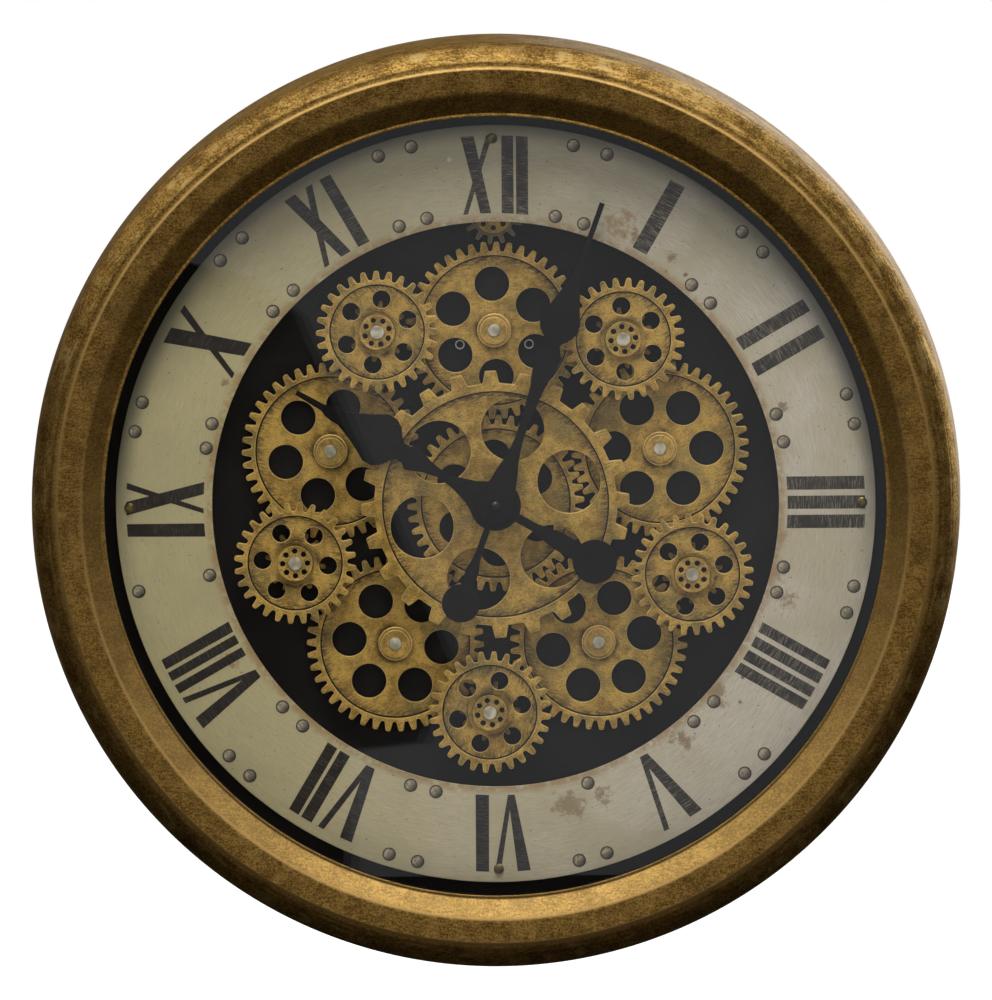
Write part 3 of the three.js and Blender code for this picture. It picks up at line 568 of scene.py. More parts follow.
# Blots and specks on the dial: degrees clockwise from the top, radius and size in mm, and colour
dial_blots = [
    (24.0, 151.0, 8.5, "#9c7c55"),
    (28.5, 148.0, 5.0, "#8d6f4c"),
    (36.0, 149.0, 3.4, "#80623f"),
    (36.5, 142.0, 1.7, "#5a4a30"),
    (40.0, 146.3, 1.2, "#4d4436"),
    (71.5, 149.0, 3.4, "#7d6145"),
    (97.0, 142.0, 4.5, "#9c8464"),
    (104.0, 142.5, 5.5, "#9a8060"),
    (107.6, 143.3, 1.7, "#4f4630"),
    (108.5, 150.0, 5.0, "#8a7250"),
    (111.0, 147.1, 1.5, "#5c523c"),
    (125.6, 148.3, 1.2, "#554b38"),
    (129.5, 154.5, 1.3, "#554b38"),
    (131.0, 143.5, 7.0, "#86704a"),
    (142.0, 148.0, 6.0, "#7f6b48"),
    (160.0, 152.0, 5.0, "#85704c"),
    (167.0, 152.5, 8.5, "#8a7656"),
    (240.0, 152.0, 5.0, "#8a6b45"),
    (295.0, 146.0, 3.0, "#8a6f45"),
    (-7.0, 171.0, 1.6, "#e8e4d8"),
]


def printed_dial(name):
    """Aluminium sheet brushed round the middle and printed cream: fine lines along the circles, yellower on
    the left and greyer on the right, brown blots, a rusty inner edge, a few dark specks, and painted shade
    from the bezel's lip: darker along the upper part of the outer edge and over the top."""
    material, tree = begun(name)
    place = add(tree, "place")
    right = add(tree, "parts", place, output="X")
    up = add(tree, "parts", place, output="Z")
    rings, distance = ring_coordinates(tree, 40.0)
    lines = add(tree, "noise", rings, 120, 5, 0.7)
    clouds = add(tree, "noise", place, 28, 3, 0.5)
    ragged = add(tree, "noise", place, 190, 6, 0.75)
    specks = add(tree, "noise", place, 900, 1, 0.5)
    greyer = (right, -0.16, 0.16)
    coats = [
        (coated(tree, "#bfb281", [("#d6ccba", greyer)]), (lines, 0.3, 0.7)),
        ("#d6ceb6", (lines, 0.6, 0.76), 0.5),
        ("#a89e78", (clouds, 0.42, 0.66), 0.5),
    ]
    for angle, radius, size, colour in dial_blots:
        across, height = (polar(radius, 90 - angle) / 1000).tolist()
        away = add(tree, "distance", place, (across, -dial_front / 1000, height))
        torn = add(tree, "times and plus", ragged, size / 200, away)
        coats.append((colour, (torn, 0.0035 * size, 0.0027 * size), 0.8))
    coats += [
        ("#94713f", (distance, 0.1445, 0.1398), (ragged, 0.36, 0.56), 0.7),
        ("#4c4030", (specks, 0.74, 0.8)),
        # Painted shadow of the bezel's lip along the upper part of the outer edge
        ("#3f3e38", (distance, 0.176, 0.1872), (up, -0.08, 0.05), 0.8),
        # Painted shade over the top of the dial, under the lip
        ("#5a5544", (up, 0.05, 0.15), 0.25),
    ]
    between_lines = coated(tree, "#a69d78", [("#aca38f", greyer)])
    cream = coated(tree, between_lines, coats)
    return finished(material, cream, metallic=0.1, relief=lines, deep=0.05)


def worn_ink(name):
    """Screen-printed black ink on the brushed dial, rubbed along the brush lines so that the cream shows,
    most of all on the right and towards the top."""
    material, tree = begun(name)
    place = add(tree, "place")
    rings, _ = ring_coordinates(tree, 20.0)
    lines = add(tree, "noise", rings, 120, 5, 0.75)
    patches = add(tree, "noise", place, 90, 3, 0.6)
    right = add(tree, "parts", place, output="X")
    side = add(tree, "times and plus", add(tree, "parts", place, output="Z"), 0.3, right)
    exposed = add(tree, "ramp", side, -0.09, 0.12)
    strength = add(tree, "times and plus", exposed, 0.5, 0.18)
    ink = coated(tree, "#18120f", [
        ("#2b2622", exposed, 0.6),
        ("#a39a82", (lines, 0.5, 0.62), (patches, 0.3, 0.55), strength),
    ])
    return finished(material, ink)


def rivet_ink(name):
    """The printed picture of a domed rivet: a light upper left, a dark lower right and a dark outline. The
    piece's own map runs from -1 to 1 over the rivet."""
    material, tree = begun(name)
    own = add(tree, "own map")
    side = add(tree, "minus", add(tree, "parts", own, output="Y"), add(tree, "parts", own, output="X"))
    mottle = add(tree, "noise", add(tree, "place"), 900, 2, 0.6)
    tone = coated(tree, "#261f16", [
        ("#b4a98c", (side, -1.1, 0.9)),
        ("#665c4d", (mottle, 0.42, 0.62), 0.75),
        ("#261f16", (add(tree, "length", own), 0.64, 0.92)),
    ])
    return finished(material, tone)


def black_enamel(name, colour, lighter, gloss=0.3):
    """Steel or ABS with a matt black paint, a little uneven in clouds of 25 mm."""
    material, tree = begun(name)
    clouds = add(tree, "noise", add(tree, "place"), 40, 4, 0.6)
    tone = coated(tree, colour, [(lighter, (clouds, 0.35, 0.7))])
    return finished(material, tone, roughness=0.6, gloss=gloss)


def moulded_plastic(name, colour):
    """Black ABS moulded in a spark-eroded tool: a fine even grain and a soft sheen."""
    material, tree = begun(name)
    place = add(tree, "place")
    grain = add(tree, "cells", place, 1100.0)
    clouds = add(tree, "noise", place, 30, 3, 0.5)
    tone = coated(tree, colour, [("#343230", (clouds, 0.3, 0.7))])
    rough = add(tree, "spread", grain, 0.0, 0.8, 0.42, 0.6)
    return finished(material, tone, roughness=rough, relief=grain, deep=0.06)


def pale_metal(name, colour, shadow, roughness, scale=700, metallic=0.9):
    """Turned steel or brass: fine tool marks and a few dull clouds."""
    material, tree = begun(name)
    place = add(tree, "place")
    marks = add(tree, "noise", place, scale, 3, 0.6)
    clouds = add(tree, "noise", place, 220, 3, 0.5)
    tone = coated(tree, shadow, [(colour, (clouds, 0.35, 0.65))])
    rough = add(tree, "spread", marks, 0.3, 0.7, roughness + 0.1, roughness)
    return finished(material, tone, metallic, rough, relief=marks, deep=0.02)


def float_glass(name):
    """Flat window glass, polished by floating: clear, with the room's faint reflection. Lamps shine through
    it, because to shadows and to plain light it is nothing."""
    material, tree = begun(name)
    index_of_refraction = 1.45
    polished = add(tree, "clear surface", "#ffffff", 1.0, 0.0, index_of_refraction)
    shadow = add(tree, "light path", output="Is Shadow Ray")
    unseen = add(tree, "greater", shadow, add(tree, "light path", output="Is Diffuse Ray"))
    add(tree, "material output", add(tree, "mixed surfaces", unseen, polished, add(tree, "nothing")))
    return material


bezel_gold = spun_gold("aluminium_spun_antique_gold", slope_end=0.2024, outer_band=0.2165)
wheel_gold = plated_gold("abs_plated_antique_gold_wheel", wheel_rim_radius, boss_radius=8.3)
small_gold = plated_gold("abs_plated_antique_gold_small_wheel", small_rim_radius, boss_radius=10.8)
centre_gold = plated_gold("abs_plated_antique_gold_centre_wheel", centre_rim_radius, boss_radius=9.0)
# A pinion has no web: the radii lie outside and inside it, and only its sunk parts get painted shade
no_web = {"rim_radius": 17.0, "boss_radius": 2.0}
pinion_gold = plated_gold("abs_plated_antique_gold_pinion", **no_web, sunk=(42.5, 48.1))
drive_name = "abs_plated_antique_gold_drive_pinion"
# The drive pinion gets painted shade on its sunk parts and on its teeth from 9.6 mm out
drive_gold = plated_gold(drive_name, **no_web, sunk=(39.0, 41.3), dull_from=9.6)
dial_paint = printed_dial("aluminium_brushed_and_printed_cream")
ink = worn_ink("screen_print_worn_black")
rivet_print = rivet_ink("screen_print_rivets")
plate_black = black_enamel("steel_sprayed_black", "#0b0a09", "#151413")
liner_black = black_enamel("abs_liner_black", "#141312", "#201e1d")
hand_black = black_enamel("steel_hands_matt_black", "#0a0908", "#131110", gloss=0.12)
cover_plastic = moulded_plastic("abs_moulded_black_cover", "#1f1e1d")
case_plastic = moulded_plastic("abs_moulded_black_movement", "#232221")
steel = pale_metal("steel_turned_bright", "#c9c7c2", "#9d9a94", roughness=0.3)
pin_steel = pale_metal(
    "steel_pin_ends_dull", "#d2ccb6", "#9b9480", roughness=0.5, scale=900, metallic=0.4
)
# Painted highlight: the plated rivets are pure white and barely metallic, so they look bright in the shade
# behind the top wheel
rivet_painted_white = pale_metal(
    "steel_rivets_painted_white_highlight", "#ffffff", "#f0eee6", roughness=0.4, scale=900, metallic=0.1
)
black_steel = pale_metal("steel_nut_polished_black", "#56524e", "#3a3734", roughness=0.13)
dark_brass = pale_metal("brass_screws_tarnished", "#8a7a48", "#3b3424", roughness=0.4)
brass = pale_metal("brass_turned", "#b8944a", "#8e6f33", roughness=0.35)
zinc_plate = pale_metal("steel_zinc_plated_hanger", "#b9b7ae", "#98958c", roughness=0.38, scale=300)
cell_wrap = pale_metal("steel_cell_printed_wrap", "#6d7478", "#565c60", roughness=0.35)
glass = float_glass("float_glass_clear")


# Bezel: lip, slope, flat band, rounded band with its fine grooves, side and the fold at the wall


def bezel_profile():
    """Radius and height of the ring's section. A bead on the lip, the slope and the flat band lead up to the
    crest, which falls off in two steps. The rounded band is a quarter of an ellipse from there to the side,
    pressed in by a shallow groove of bell shape at two places along it."""
    corners = [
        (191.35, 64.8), (191.35, 66.2), (192.1, 66.22), (192.75, 66.12), (193.2, 66.22), (202.35, 70.15),
        (214.1, 70.96), (215.5, 70.5), (217.3, 70.29),
    ]
    front = softened(corners, [0, 0.15, 0.15, 0.15, 0.15, 1.6, 0.35, 0.5, 0], steps=4, closed=False)
    crest_radius = 215.15
    band_foot = 57.0
    band_wide = 12.2
    band_rise = 13.5
    share = np.linspace(0.125, 1, 100)
    angle = share * math.pi / 2
    radius = crest_radius + band_wide * np.sin(angle)
    height = band_foot + band_rise * np.cos(angle)
    grooves = ((0.3, 0.05, 0.02), (0.48, 0.1, 0.016))
    pressed = sum(depth * np.exp(-(((share - middle) / wide) ** 2)) for middle, depth, wide in grooves)
    rounded = np.stack([radius - pressed * np.sin(angle), height - pressed * np.cos(angle)], axis=1)
    side = [(229.84, 14.0), (229.84, 0.4), (229.45, 0.0), (223.85, 0.0), (223.85, 4.0), (227.85, 4.0)]
    inside = [(225.35, band_foot), (crest_radius, 69.0), (205.45, 68.2)]
    inside += [(205.45, plate_front), (203.45, plate_front), (203.45, 64.8)]
    return np.concatenate([front, rounded, side, inside])


# Four bosses behind take the cover's screws
boss_places = polar(boss_circle, 45 + 90 * np.arange(4))
bosses = [lathe(tube(1.9, 4.2, 10.8, 34.8), 24, place) for place in boss_places]
piece("bezel", [lathe(bezel_profile(), 360), *bosses], bezel_gold, "case", ["bezel_frame"])
glass_section = tube(0, glass_radius, glass_back, glass_front)
glass_shell = lathe(softened(glass_section, 0.3, steps=2, closed=False), 192)
piece("front_glass", [glass_shell], glass, "case", ["glass"], sharp=15)
liner_section = tube(liner_inner_radius, glass_radius, plate_front, liner_front)
liner_shell = lathe(softened(liner_section, 0.4), 256)
piece("liner", [liner_shell], liner_black, "case", ["spacer_ring"])

# Dial ring with its print: hour numbers and rivets
dial_section = tube(dial_inner_radius, dial_outer_radius, dial_back, dial_front)
piece("dial", [lathe(softened(dial_section, 0.35), 256)], dial_paint, "case", ["dial_ring"])

number_foot = 143.4
number_top = 181.4
print_back = dial_front - 0.1
print_thick = 0.05
print_step = 0.012
# Each stroke of a number: its left and right side at the foot, then at the top, right of the hour's line
hour_strokes = {
    1: [(-3.95, 3.9, -4.05, 4.0)],
    2: [(-10.8, -4.0, -10.9, -4.1), (3.75, 10.7, 3.8, 10.8)],
    3: [(-12.8, -6.3, -12.9, -6.4), (-3.3, 3.1, -3.3, 3.2), (6.1, 12.6, 6.1, 12.7)],
    4: [(-14.4, -9.2, -14.4, -9.3), (-6.8, -1.4, -6.8, -1.4), (0.9, 6.3, 1.0, 6.3), (8.2, 13.7, 8.2, 13.6)],
    5: [(-2.1, 2.1, -11.3, -4.3), (-0.6, 2.1, 7.4, 10.2)],
    6: [(-8.1, -4.8, -15.8, -9.35), (-6.9, -4.8, -1.0, 1.9), (4.5, 11.1, 4.8, 11.2)],
    7: [(-12.5, -7.9, -20.5, -14.1), (-10.6, -7.9, -5.2, -1.9), (1.2, 6.8, 1.6, 7.6), (8.5, 14.1, 9.1, 14.6)],
    8: [
        (-14.5, -10.1, -22.2, -15.8), (-12.6, -10.1, -7.1, -4.0), (-1.6, 2.9, -1.4, 3.3),
        (5.2, 9.8, 5.7, 10.3), (11.5, 17.0, 12.2, 17.4),
    ],
    9: [(-14.4, -7.9, -14.2, -8.0), (6.5, 12.5, -3.8, 2.9), (-3.0, -0.6, 9.35, 12.4)],
    10: [(3.0, 10.3, -10.75, -2.4), (-9.6, -6.8, 6.6, 10.5)],
    11: [(-3.2, 2.3, -13.5, -7.1), (-13.0, -10.1, -1.0, 2.65), (6.5, 12.7, 6.6, 12.7)],
    12: [
        (-6.1, -0.8, -15.5, -9.1), (-14.5, -12.2, -2.9, 0.0), (4.3, 10.2, 4.5, 10.2),
        (11.4, 17.3, 11.6, 17.4),
    ],
}


def number_stroke(sides, hour, layer):
    """A stroke as a thin slab: across it runs between its two sides, along it the radius runs from foot to
    top, so that both ends lie on circles, and up = sqrt(radius^2 - right^2). Each stroke of a number lies a
    hair higher than the one before, so that crossing strokes share no face."""
    foot_left, foot_right, top_left, top_right = sides
    share = np.linspace(0, 1, 12)
    radius = number_foot + share * (number_top - number_foot)
    left = foot_left + share * (top_left - foot_left)
    right = foot_right + share * (top_right - foot_right)
    across = np.concatenate([right, left[::-1]])
    reach = np.concatenate([radius, radius[::-1]])
    outline = np.stack([across, np.sqrt(reach**2 - across**2)], axis=1)
    outline = turned(outline, -30.0 * hour)
    low = at_height(outline, print_back)
    high = at_height(outline, dial_front + print_thick + print_step * layer)
    count = len(outline)
    points = np.concatenate([low, high])
    ring = np.arange(count)
    following = np.roll(ring, -1)
    walls = np.stack([ring, following, following + count, ring + count], axis=1)
    rung = np.arange(count // 2 - 1)
    mirrored = count - 1 - rung
    face = np.stack([rung, rung + 1, mirrored - 1, mirrored], axis=1)
    return points, np.concatenate([walls, face[:, ::-1], face + count])


strokes = []
for hour, group in hour_strokes.items():
    strokes += [number_stroke(sides, hour, layer) for layer, sides in enumerate(group)]
piece("hour_numbers", strokes, ink, "case")

# Printed rivets on two circles, as angles clockwise from the top
rivet_radius = 3.35
outer_rivet_circle = 180.5
inner_rivet_circle = 144.7
outer_rivets = [
    -12.7, 12.7, 18.1, 42.5, 47.0, 72.9, 77.7, 103.3, 107.6, 133.4, 137.7, 162.8, 167.3, 192.8, 197.4, 222.6,
    227.1, 256.8, 282.0, 286.7, 312.2, 317.1, 342.0,
]
inner_rivets = [
    -12.9, 12.2, 17.9, 42.1, 47.2, 72.5, 78.1, 102.7, 107.8, 132.6, 138.1, 162.2, 192.2, 197.3, 221.5, 226.9,
    256.6, 281.6, 286.5, 311.6, 317.3, 341.5,
]


def printed_rivets():
    """All the rivets in one thin piece: each is a low disc, and the piece's map goes from -1 to 1 over it."""
    outer = polar(outer_rivet_circle, 90 - np.array(outer_rivets))
    inner = polar(inner_rivet_circle, 90 - np.array(inner_rivets))
    places = np.concatenate([outer, inner])
    top = dial_front + 0.06
    section = [(0, print_back), (rivet_radius, print_back), (rivet_radius, top - 0.02)]
    section += [(rivet_radius - 0.5, top), (0, top)]
    shells = [lathe(section, 24, place) for place in places]
    made = piece("rivet_print", shells, rivet_print, "case", own=(0.0, (0.0, 0.0)))
    chart = made.data.uv_layers["own"]
    flat = np.empty(len(chart.data) * 2, np.float32)
    chart.data.foreach_get("uv", flat)
    flat = flat.reshape(-1, 2) * 1000
    nearest = np.argmin(np.linalg.norm(flat[:, None] - places[None], axis=2), axis=1)
    flat = (flat - places[nearest]) / rivet_radius
    chart.data.foreach_set("uv", flat.astype(np.float32).ravel())


printed_rivets()


def pan_head(back, radius, rise):
    """Section of a screw's domed head: flat under, then a low arch to the middle."""
    share = np.linspace(0, 1, 7)[1:] * math.pi / 2
    arch = np.stack([radius * np.cos(share), back + rise * (0.35 + 0.65 * np.sin(share))], axis=1)
    arch[-1, 0] = 0
    return [(0, back), (radius - 0.2, back), (radius, back + 0.3 * rise), *map(tuple, arch)]


dial_screw_circle = 179.85
for hour in (12, 3, 6, 9):
    middle = polar(dial_screw_circle, 90 - 30 * hour)
    head = lathe(pan_head(dial_front + 0.15, radius=2.5, rise=1.3), 32, middle)
    shells = [head, lathe(tube(0, 1.3, 41.8, dial_front + 0.3), 16, middle)]
    piece(f"pan_screw_{hour}", shells, dark_brass, "case", [f"dial_screw_{hour}"])

# Hollow rivets that hold the motor, seen through the top wheel, painted white as a highlight
rivet_corners = [(1.75, 30.5), (2.35, 30.5), (2.35, 33.6), (2.05, 33.8), (1.75, 33.5)]
rivet_section = softened(rivet_corners, 0.15, steps=2)
for side, place in (("left", (-17.0, 78.0)), ("right", (17.0, 78.0))):
    hollow = [lathe(rivet_section, 32, place)]
    piece(f"motor_rivet_{side}", hollow, rivet_painted_white, "case", [f"motor_screw_{side}"])
    shank = lathe(tube(0, 1.9, 28.3, 31.2), 16, place)
    piece(f"motor_shank_{side}", [shank], plate_black, "case")

# Gears: teeth, root and tip radius, a tooth's width there as shares of the pitch, tip and root rounding
wheel_line = tooth_line(wheel_teeth, 39.0, 43.7, 0.72, 0.36, 0.75, 0.5)
small_line = tooth_line(small_teeth, 25.6, 30.1, 0.66, 0.34, 0.95, 0.8)
centre_line = tooth_line(centre_teeth, 59.75, 65.85, 0.52, 0.32, 0.6, 0.5)
pinion_line = tooth_line(pinion_teeth, 10.9, 15.0, 0.56, 0.26, 0.9, 0.5)


def bossed(bore, back, front, wide, narrow, rise):
    """Section of a boss of two steps: a wide one and a narrower one on it, with a groove between."""
    step = front + 0.55 * rise
    top = front + rise
    return [
        (bore, back), (wide - 0.1, back), (wide, front + 0.35 * rise), (wide - 0.3, step),
        (narrow + 0.5, step), (narrow + 0.25, front + 0.25 * rise), (narrow, front + 0.3 * rise),
        (narrow, top - 0.25), (narrow - 0.25, top), (bore + 0.25, top), (bore, top - 0.25),
    ]


def webbed(outline, rim_radius, levels, boss, hub_radius, edge=0.5, **holes):
    """A wheel: toothed rim, sunk web with six holes round the hub, and a boss turned from its section. The
    levels are the heights of the back, the rim's front and the web's front."""
    back, front, web_front = levels
    web_radius = rim_radius - groove_wide
    return [
        toothed_ring(outline, rim_radius, back, front, web_front, edge),
        *ring_with_holes(hub_radius, web_radius, back, web_front, count=6, edge=edge, **holes),
        lathe(boss, 64),
    ]


def wheel_shells(bore):
    """The 42-tooth wheel, with a stepped boss."""
    boss = bossed(bore, wheel_back, wheel_front, wide=8.3, narrow=6.8, rise=1.5)
    levels = (wheel_back, wheel_front, wheel_web_front)
    web = {"hub_radius": 8.0, "hole_radius": 8.5, "hole_circle": 22.8, "first": 30.0}
    return webbed(wheel_line, wheel_rim_radius, levels, boss, **web)


def small_shells():
    """The 28-tooth wheel, with a lower ring round the hub for a boss."""
    boss = tube(9.1, 10.7, upper_back, 45.0)
    levels = (upper_back, small_front, small_web_front)
    web = {"hub_radius": 10.5, "hole_radius": 4.4, "hole_circle": 16.2, "first": 0.0}
    return webbed(small_line, small_rim_radius, levels, boss, **web)


def centre_shells():
    """The big 24-tooth gear in the middle, with a low stepped boss."""
    boss = bossed(tube_bore, upper_back, centre_front, wide=9.0, narrow=7.6, rise=0.6)
    levels = (upper_back, centre_front, centre_web_front)
    web = {"hub_radius": 8.7, "hole_radius": 15.5, "hole_circle": 37.8, "first": 0.0}
    return webbed(centre_line, centre_rim_radius, levels, boss, edge=0.55, **web)


def pinion_ring():
    """The 14 teeth, a closed ring from the bore out."""
    bore = pinion_line / np.linalg.norm(pinion_line, axis=1, keepdims=True) * pin_bore
    rows = [
        at_height(bore, wheel_back),
        at_height(inset(pinion_line, 0.15), wheel_back),
        at_height(pinion_line, wheel_back + 0.15),
        at_height(pinion_line, pinion_front - 0.3),
        at_height(inset(pinion_line, 0.1), pinion_front - 0.1),
        at_height(inset(pinion_line, 0.3), pinion_front),
        at_height(bore, pinion_front),
    ]
    return wound(np.stack(rows))


def pinion_shells(hub, radius=8.8, first=11.0):
    """A 14-tooth pinion with its hub in front: a disc with eight small blind holes, whose front lies at the
    height of hub, and the first of whose holes at an angle."""
    floor = hub - 3.2
    lower = lathe(tube(pin_bore, 8.6, wheel_back, floor), 48)
    holes = {"hole_radius": 1.35, "hole_circle": radius - 2.7, "count": 8, "first": first, "edge": 0.2}
    disc = ring_with_holes(pin_bore, radius - 0.5, floor, hub - 0.15, **holes)
    edge = lathe(softened(tube(radius - 0.9, radius, floor - 0.1, hub), 0.25, steps=2), 64)
    return [pinion_ring(), lower, *disc, edge]


def meshed_turn(wanted, teeth, other_turn, other_teeth, angle_to_other):
    """A turn near the wanted one that puts a tooth of one gear in a gap of the other, whose middle lies at
    the angle given."""
    pitch = 360 / teeth
    facing = angle_to_other + 180
    share = 0.5 - (other_turn - facing) / (360 / other_teeth)
    turn = angle_to_other + share * pitch
    return turn + round((wanted - turn) / pitch) * pitch


def pin_section(top, head):
    """Section of a steel pin: shank through the plate, collar under its wheel, and a top spread a little."""
    return [
        (0, pin_back), (2.0, pin_back), (2.0, plate_front), (6.0, plate_front), (6.0, pin_seat),
        (pin_radius, pin_seat), (pin_radius, top - 0.55), (head, top - 0.5), (head, top - 0.3),
        (head - 0.2, top - 0.1), (head - 0.7, top), (0, top),
    ]


def gear_piece(name, shells, turn, middle, material, body):
    """A gear set at its place in the train, in place of the solid of the same name."""
    placed = moved(shells, turn, middle)
    return piece(f"{name}_casting", placed, material, body, [name], own=(turn, middle))


gear_piece("sun_gear", wheel_shells(tube_bore), sun_turn, (0.0, 0.0), wheel_gold, "centre_train")
gear_piece("centre_gear", centre_shells(), centre_turn, (0.0, 0.0), centre_gold, "centre_train")
for number, (wheel_turn, small_turn) in enumerate(zip(wheel_turns, small_turns), 1):
    spoke = 162 - 72 * number
    wheel_body = f"large_wheel_{number}"
    small_body = f"small_wheel_{number}"
    wheel_middle = polar(wheel_orbit, spoke)
    small_middle = wheel_middle + polar(pinion_distance, spoke + 90)
    turn = meshed_turn(wheel_turn, wheel_teeth, sun_turn, wheel_teeth, spoke + 180)
    if number == 1:
        top_turn = turn
    pinion_turn = meshed_turn(0.0, pinion_teeth, turn, wheel_teeth, spoke - 90)
    hub = pinion_shells(hub_front)
    gear_piece(f"large_gear_{number}", wheel_shells(pin_bore), turn, wheel_middle, wheel_gold, wheel_body)
    gear_piece(f"small_gear_{number}", small_shells(), small_turn, small_middle, small_gold, small_body)
    gear_piece(f"pinion_{number}", hub, pinion_turn, small_middle, pinion_gold, small_body)
    large_pin = [lathe(pin_section(top=41.6, head=3.05), 40, wheel_middle)]
    piece(f"large_pin_{number}", large_pin, pin_steel, "case", [f"large_arbor_{number}"])
    small_pin = [lathe(pin_section(top=49.1, head=3.3), 40, small_middle)]
    piece(f"small_pin_{number}", small_pin, pin_steel, "case", [f"small_arbor_{number}"])
drive_middle = (0.0, wheel_orbit + pinion_distance)
drive_turn = meshed_turn(0.0, pinion_teeth, top_turn, wheel_teeth, 270)
drive_shells = pinion_shells(hub=41.9, radius=9.5, first=-drive_turn)
gear_piece("drive_pinion", drive_shells, drive_turn, drive_middle, drive_gold, "drive")
drive_pin_section = [(0, pin_back), (pin_radius, pin_back), (pin_radius, 41.8), (2.5, 42.3), (0, 42.3)]
drive_pin = lathe(drive_pin_section, 40, drive_middle)
piece("drive_pin", [drive_pin], pin_steel, "drive")

# Hands: half the width, at shares of the length from the axis to the tip, or to the disc on the tail
minute_blade = [
    (0.05, 7.4), (0.11, 5.4), (0.15, 3.7), (0.187, 2.7), (0.224, 2.05), (0.271, 2.25), (0.337, 2.75),
    (0.389, 3.4), (0.448, 5.4), (0.498, 6.5), (0.536, 3.7), (0.551, 5.4), (0.57, 8.3), (0.592, 9.8),
    (0.62, 9.6), (0.648, 7.85), (0.682, 5.9), (0.707, 4.7), (0.747, 2.9), (0.816, 1.7), (0.878, 1.35),
    (1, 1.3),
]
hour_blade = [
    (0.05, 10.5), (0.122, 5.9), (0.192, 3.4), (0.271, 1.85), (0.341, 3.2), (0.424, 6.9), (0.45, 4.4),
    (0.481, 4.4), (0.502, 6.9), (0.524, 10.5), (0.559, 13), (0.603, 13), (0.664, 9.1), (0.734, 5.4),
    (0.773, 3.7), (0.804, 3.7), (0.839, 3.1), (0.865, 1.7), (0.908, 1.55), (1, 1.2),
]
minute_tail = [(0, 1.55), (0.48, 1.55), (0.58, 2.2), (0.66, 3.2), (1, 3.2)]
hour_tail = [(0, 2.2), (0.39, 2.2), (0.48, 2.95), (0.6, 4.4), (1, 4.65)]


def hand_shell(blade, tail, back, turn, length, tail_reach, disc_radius, hub_radius):
    """A hand pointing up. At each height its half width is the widest of blade, tail, hub and tail disc; the
    last two are circles, sqrt(r^2 - h^2). Across it the section is flat with rounded edges."""
    low = -tail_reach - disc_radius
    height = np.concatenate([
        low + disc_radius * (1 - np.cos(np.linspace(0, math.pi, 40))),
        np.linspace(low + 2 * disc_radius, -hub_radius, 40)[1:-1],
        -hub_radius * np.cos(np.linspace(0, math.pi, 40)),
        np.linspace(hub_radius, length, 260)[1:],
    ])
    height = np.unique(np.round(height, 6))
    blade = np.array(blade)
    tail = np.array(tail)
    half = np.where(height >= 0, np.interp(height, blade[:, 0] * length, blade[:, 1]), 0)
    half = np.where(height < 0, np.interp(-height, tail[:, 0] * tail_reach, tail[:, 1], right=0), half)
    half = np.maximum(half, np.sqrt(np.maximum(hub_radius**2 - height**2, 0)))
    half = np.maximum(half, np.sqrt(np.maximum(disc_radius**2 - (height + tail_reach) ** 2, 0)))
    half = np.maximum(half, 0.02)
    edge = np.minimum(0.25, half / 2)
    front = back + hand_thick
    left = [(-half, back), (-half, front - edge), (edge - half, front)]
    section = left + [(-side, out) for side, out in left[::-1]]
    columns = [np.stack([side, height, np.broadcast_to(out, height.shape)], axis=1) for side, out in section]
    rows = np.stack(columns, axis=1)
    return moved([wound(rows, closed_rows=False)], turn, (0.0, 0.0))


minute_shape = {"length": 157.5, "tail_reach": 50.9, "disc_radius": 9.4, "hub_radius": 9.0}
minute_shells = hand_shell(minute_blade, minute_tail, minute_hand_back, minute_hand_turn, **minute_shape)
piece("minute_pointer", minute_shells, hand_black, "minute", ["minute_hand"])
hour_shape = {"length": 112.3, "tail_reach": 56.1, "disc_radius": 10.9, "hub_radius": 12.5}
hour_shells = hand_shell(hour_blade, hour_tail, hour_hand_back, hour_hand_turn, **hour_shape)
piece("hour_pointer", hour_shells, hand_black, "hour", ["hour_hand"])

# The nut on the hands: a short cylinder with a dome, half an ellipse high
nut_radius = 2.6
nut_back = 56.3
nut_shoulder = 57.9
dome_rise = 1.5
dome = np.linspace(0, math.pi / 2, 9)[1:-1]
nut_section = [(0, nut_back), (nut_radius, nut_back), (nut_radius, nut_shoulder)]
nut_section += [(nut_radius * math.cos(turn), nut_shoulder + dome_rise * math.sin(turn)) for turn in dome]
nut_section.append((0, nut_shoulder + dome_rise))
piece("domed_nut", [lathe(nut_section, 40)], black_steel, "minute", ["hand_nut"])

# Nodes that keep their own shape
kept = {
    plate_black: ["base_plate"],
    cover_plastic: ["back_cover"],
    case_plastic: ["movement_case", "setting_knob", "gear_motor", "battery_box"],
    zinc_plate: ["hanger_plate", "switch_slider"],
    steel: ["back_screw_1", "back_screw_2", "back_screw_3", "back_screw_4", "minute_arbor"],
    brass: ["movement_nut", "centre_tube", "hour_pipe"],
    cell_wrap: ["movement_battery", "motor_battery_1", "motor_battery_2"],
}
for material, names in kept.items():
    for name in names:
        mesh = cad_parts[name].data
        mesh.materials.clear()
        mesh.materials.append(material)

# Studio


def aimed(place, target, roll=0.0):
    """The turn that makes a lamp or camera at a place look at a target, rolled round its line of sight."""
    back = Vector(place) - Vector(target)
    return back.to_track_quat("Z", "Y") @ Matrix.Rotation(math.radians(roll), 4, "Z").to_quaternion()


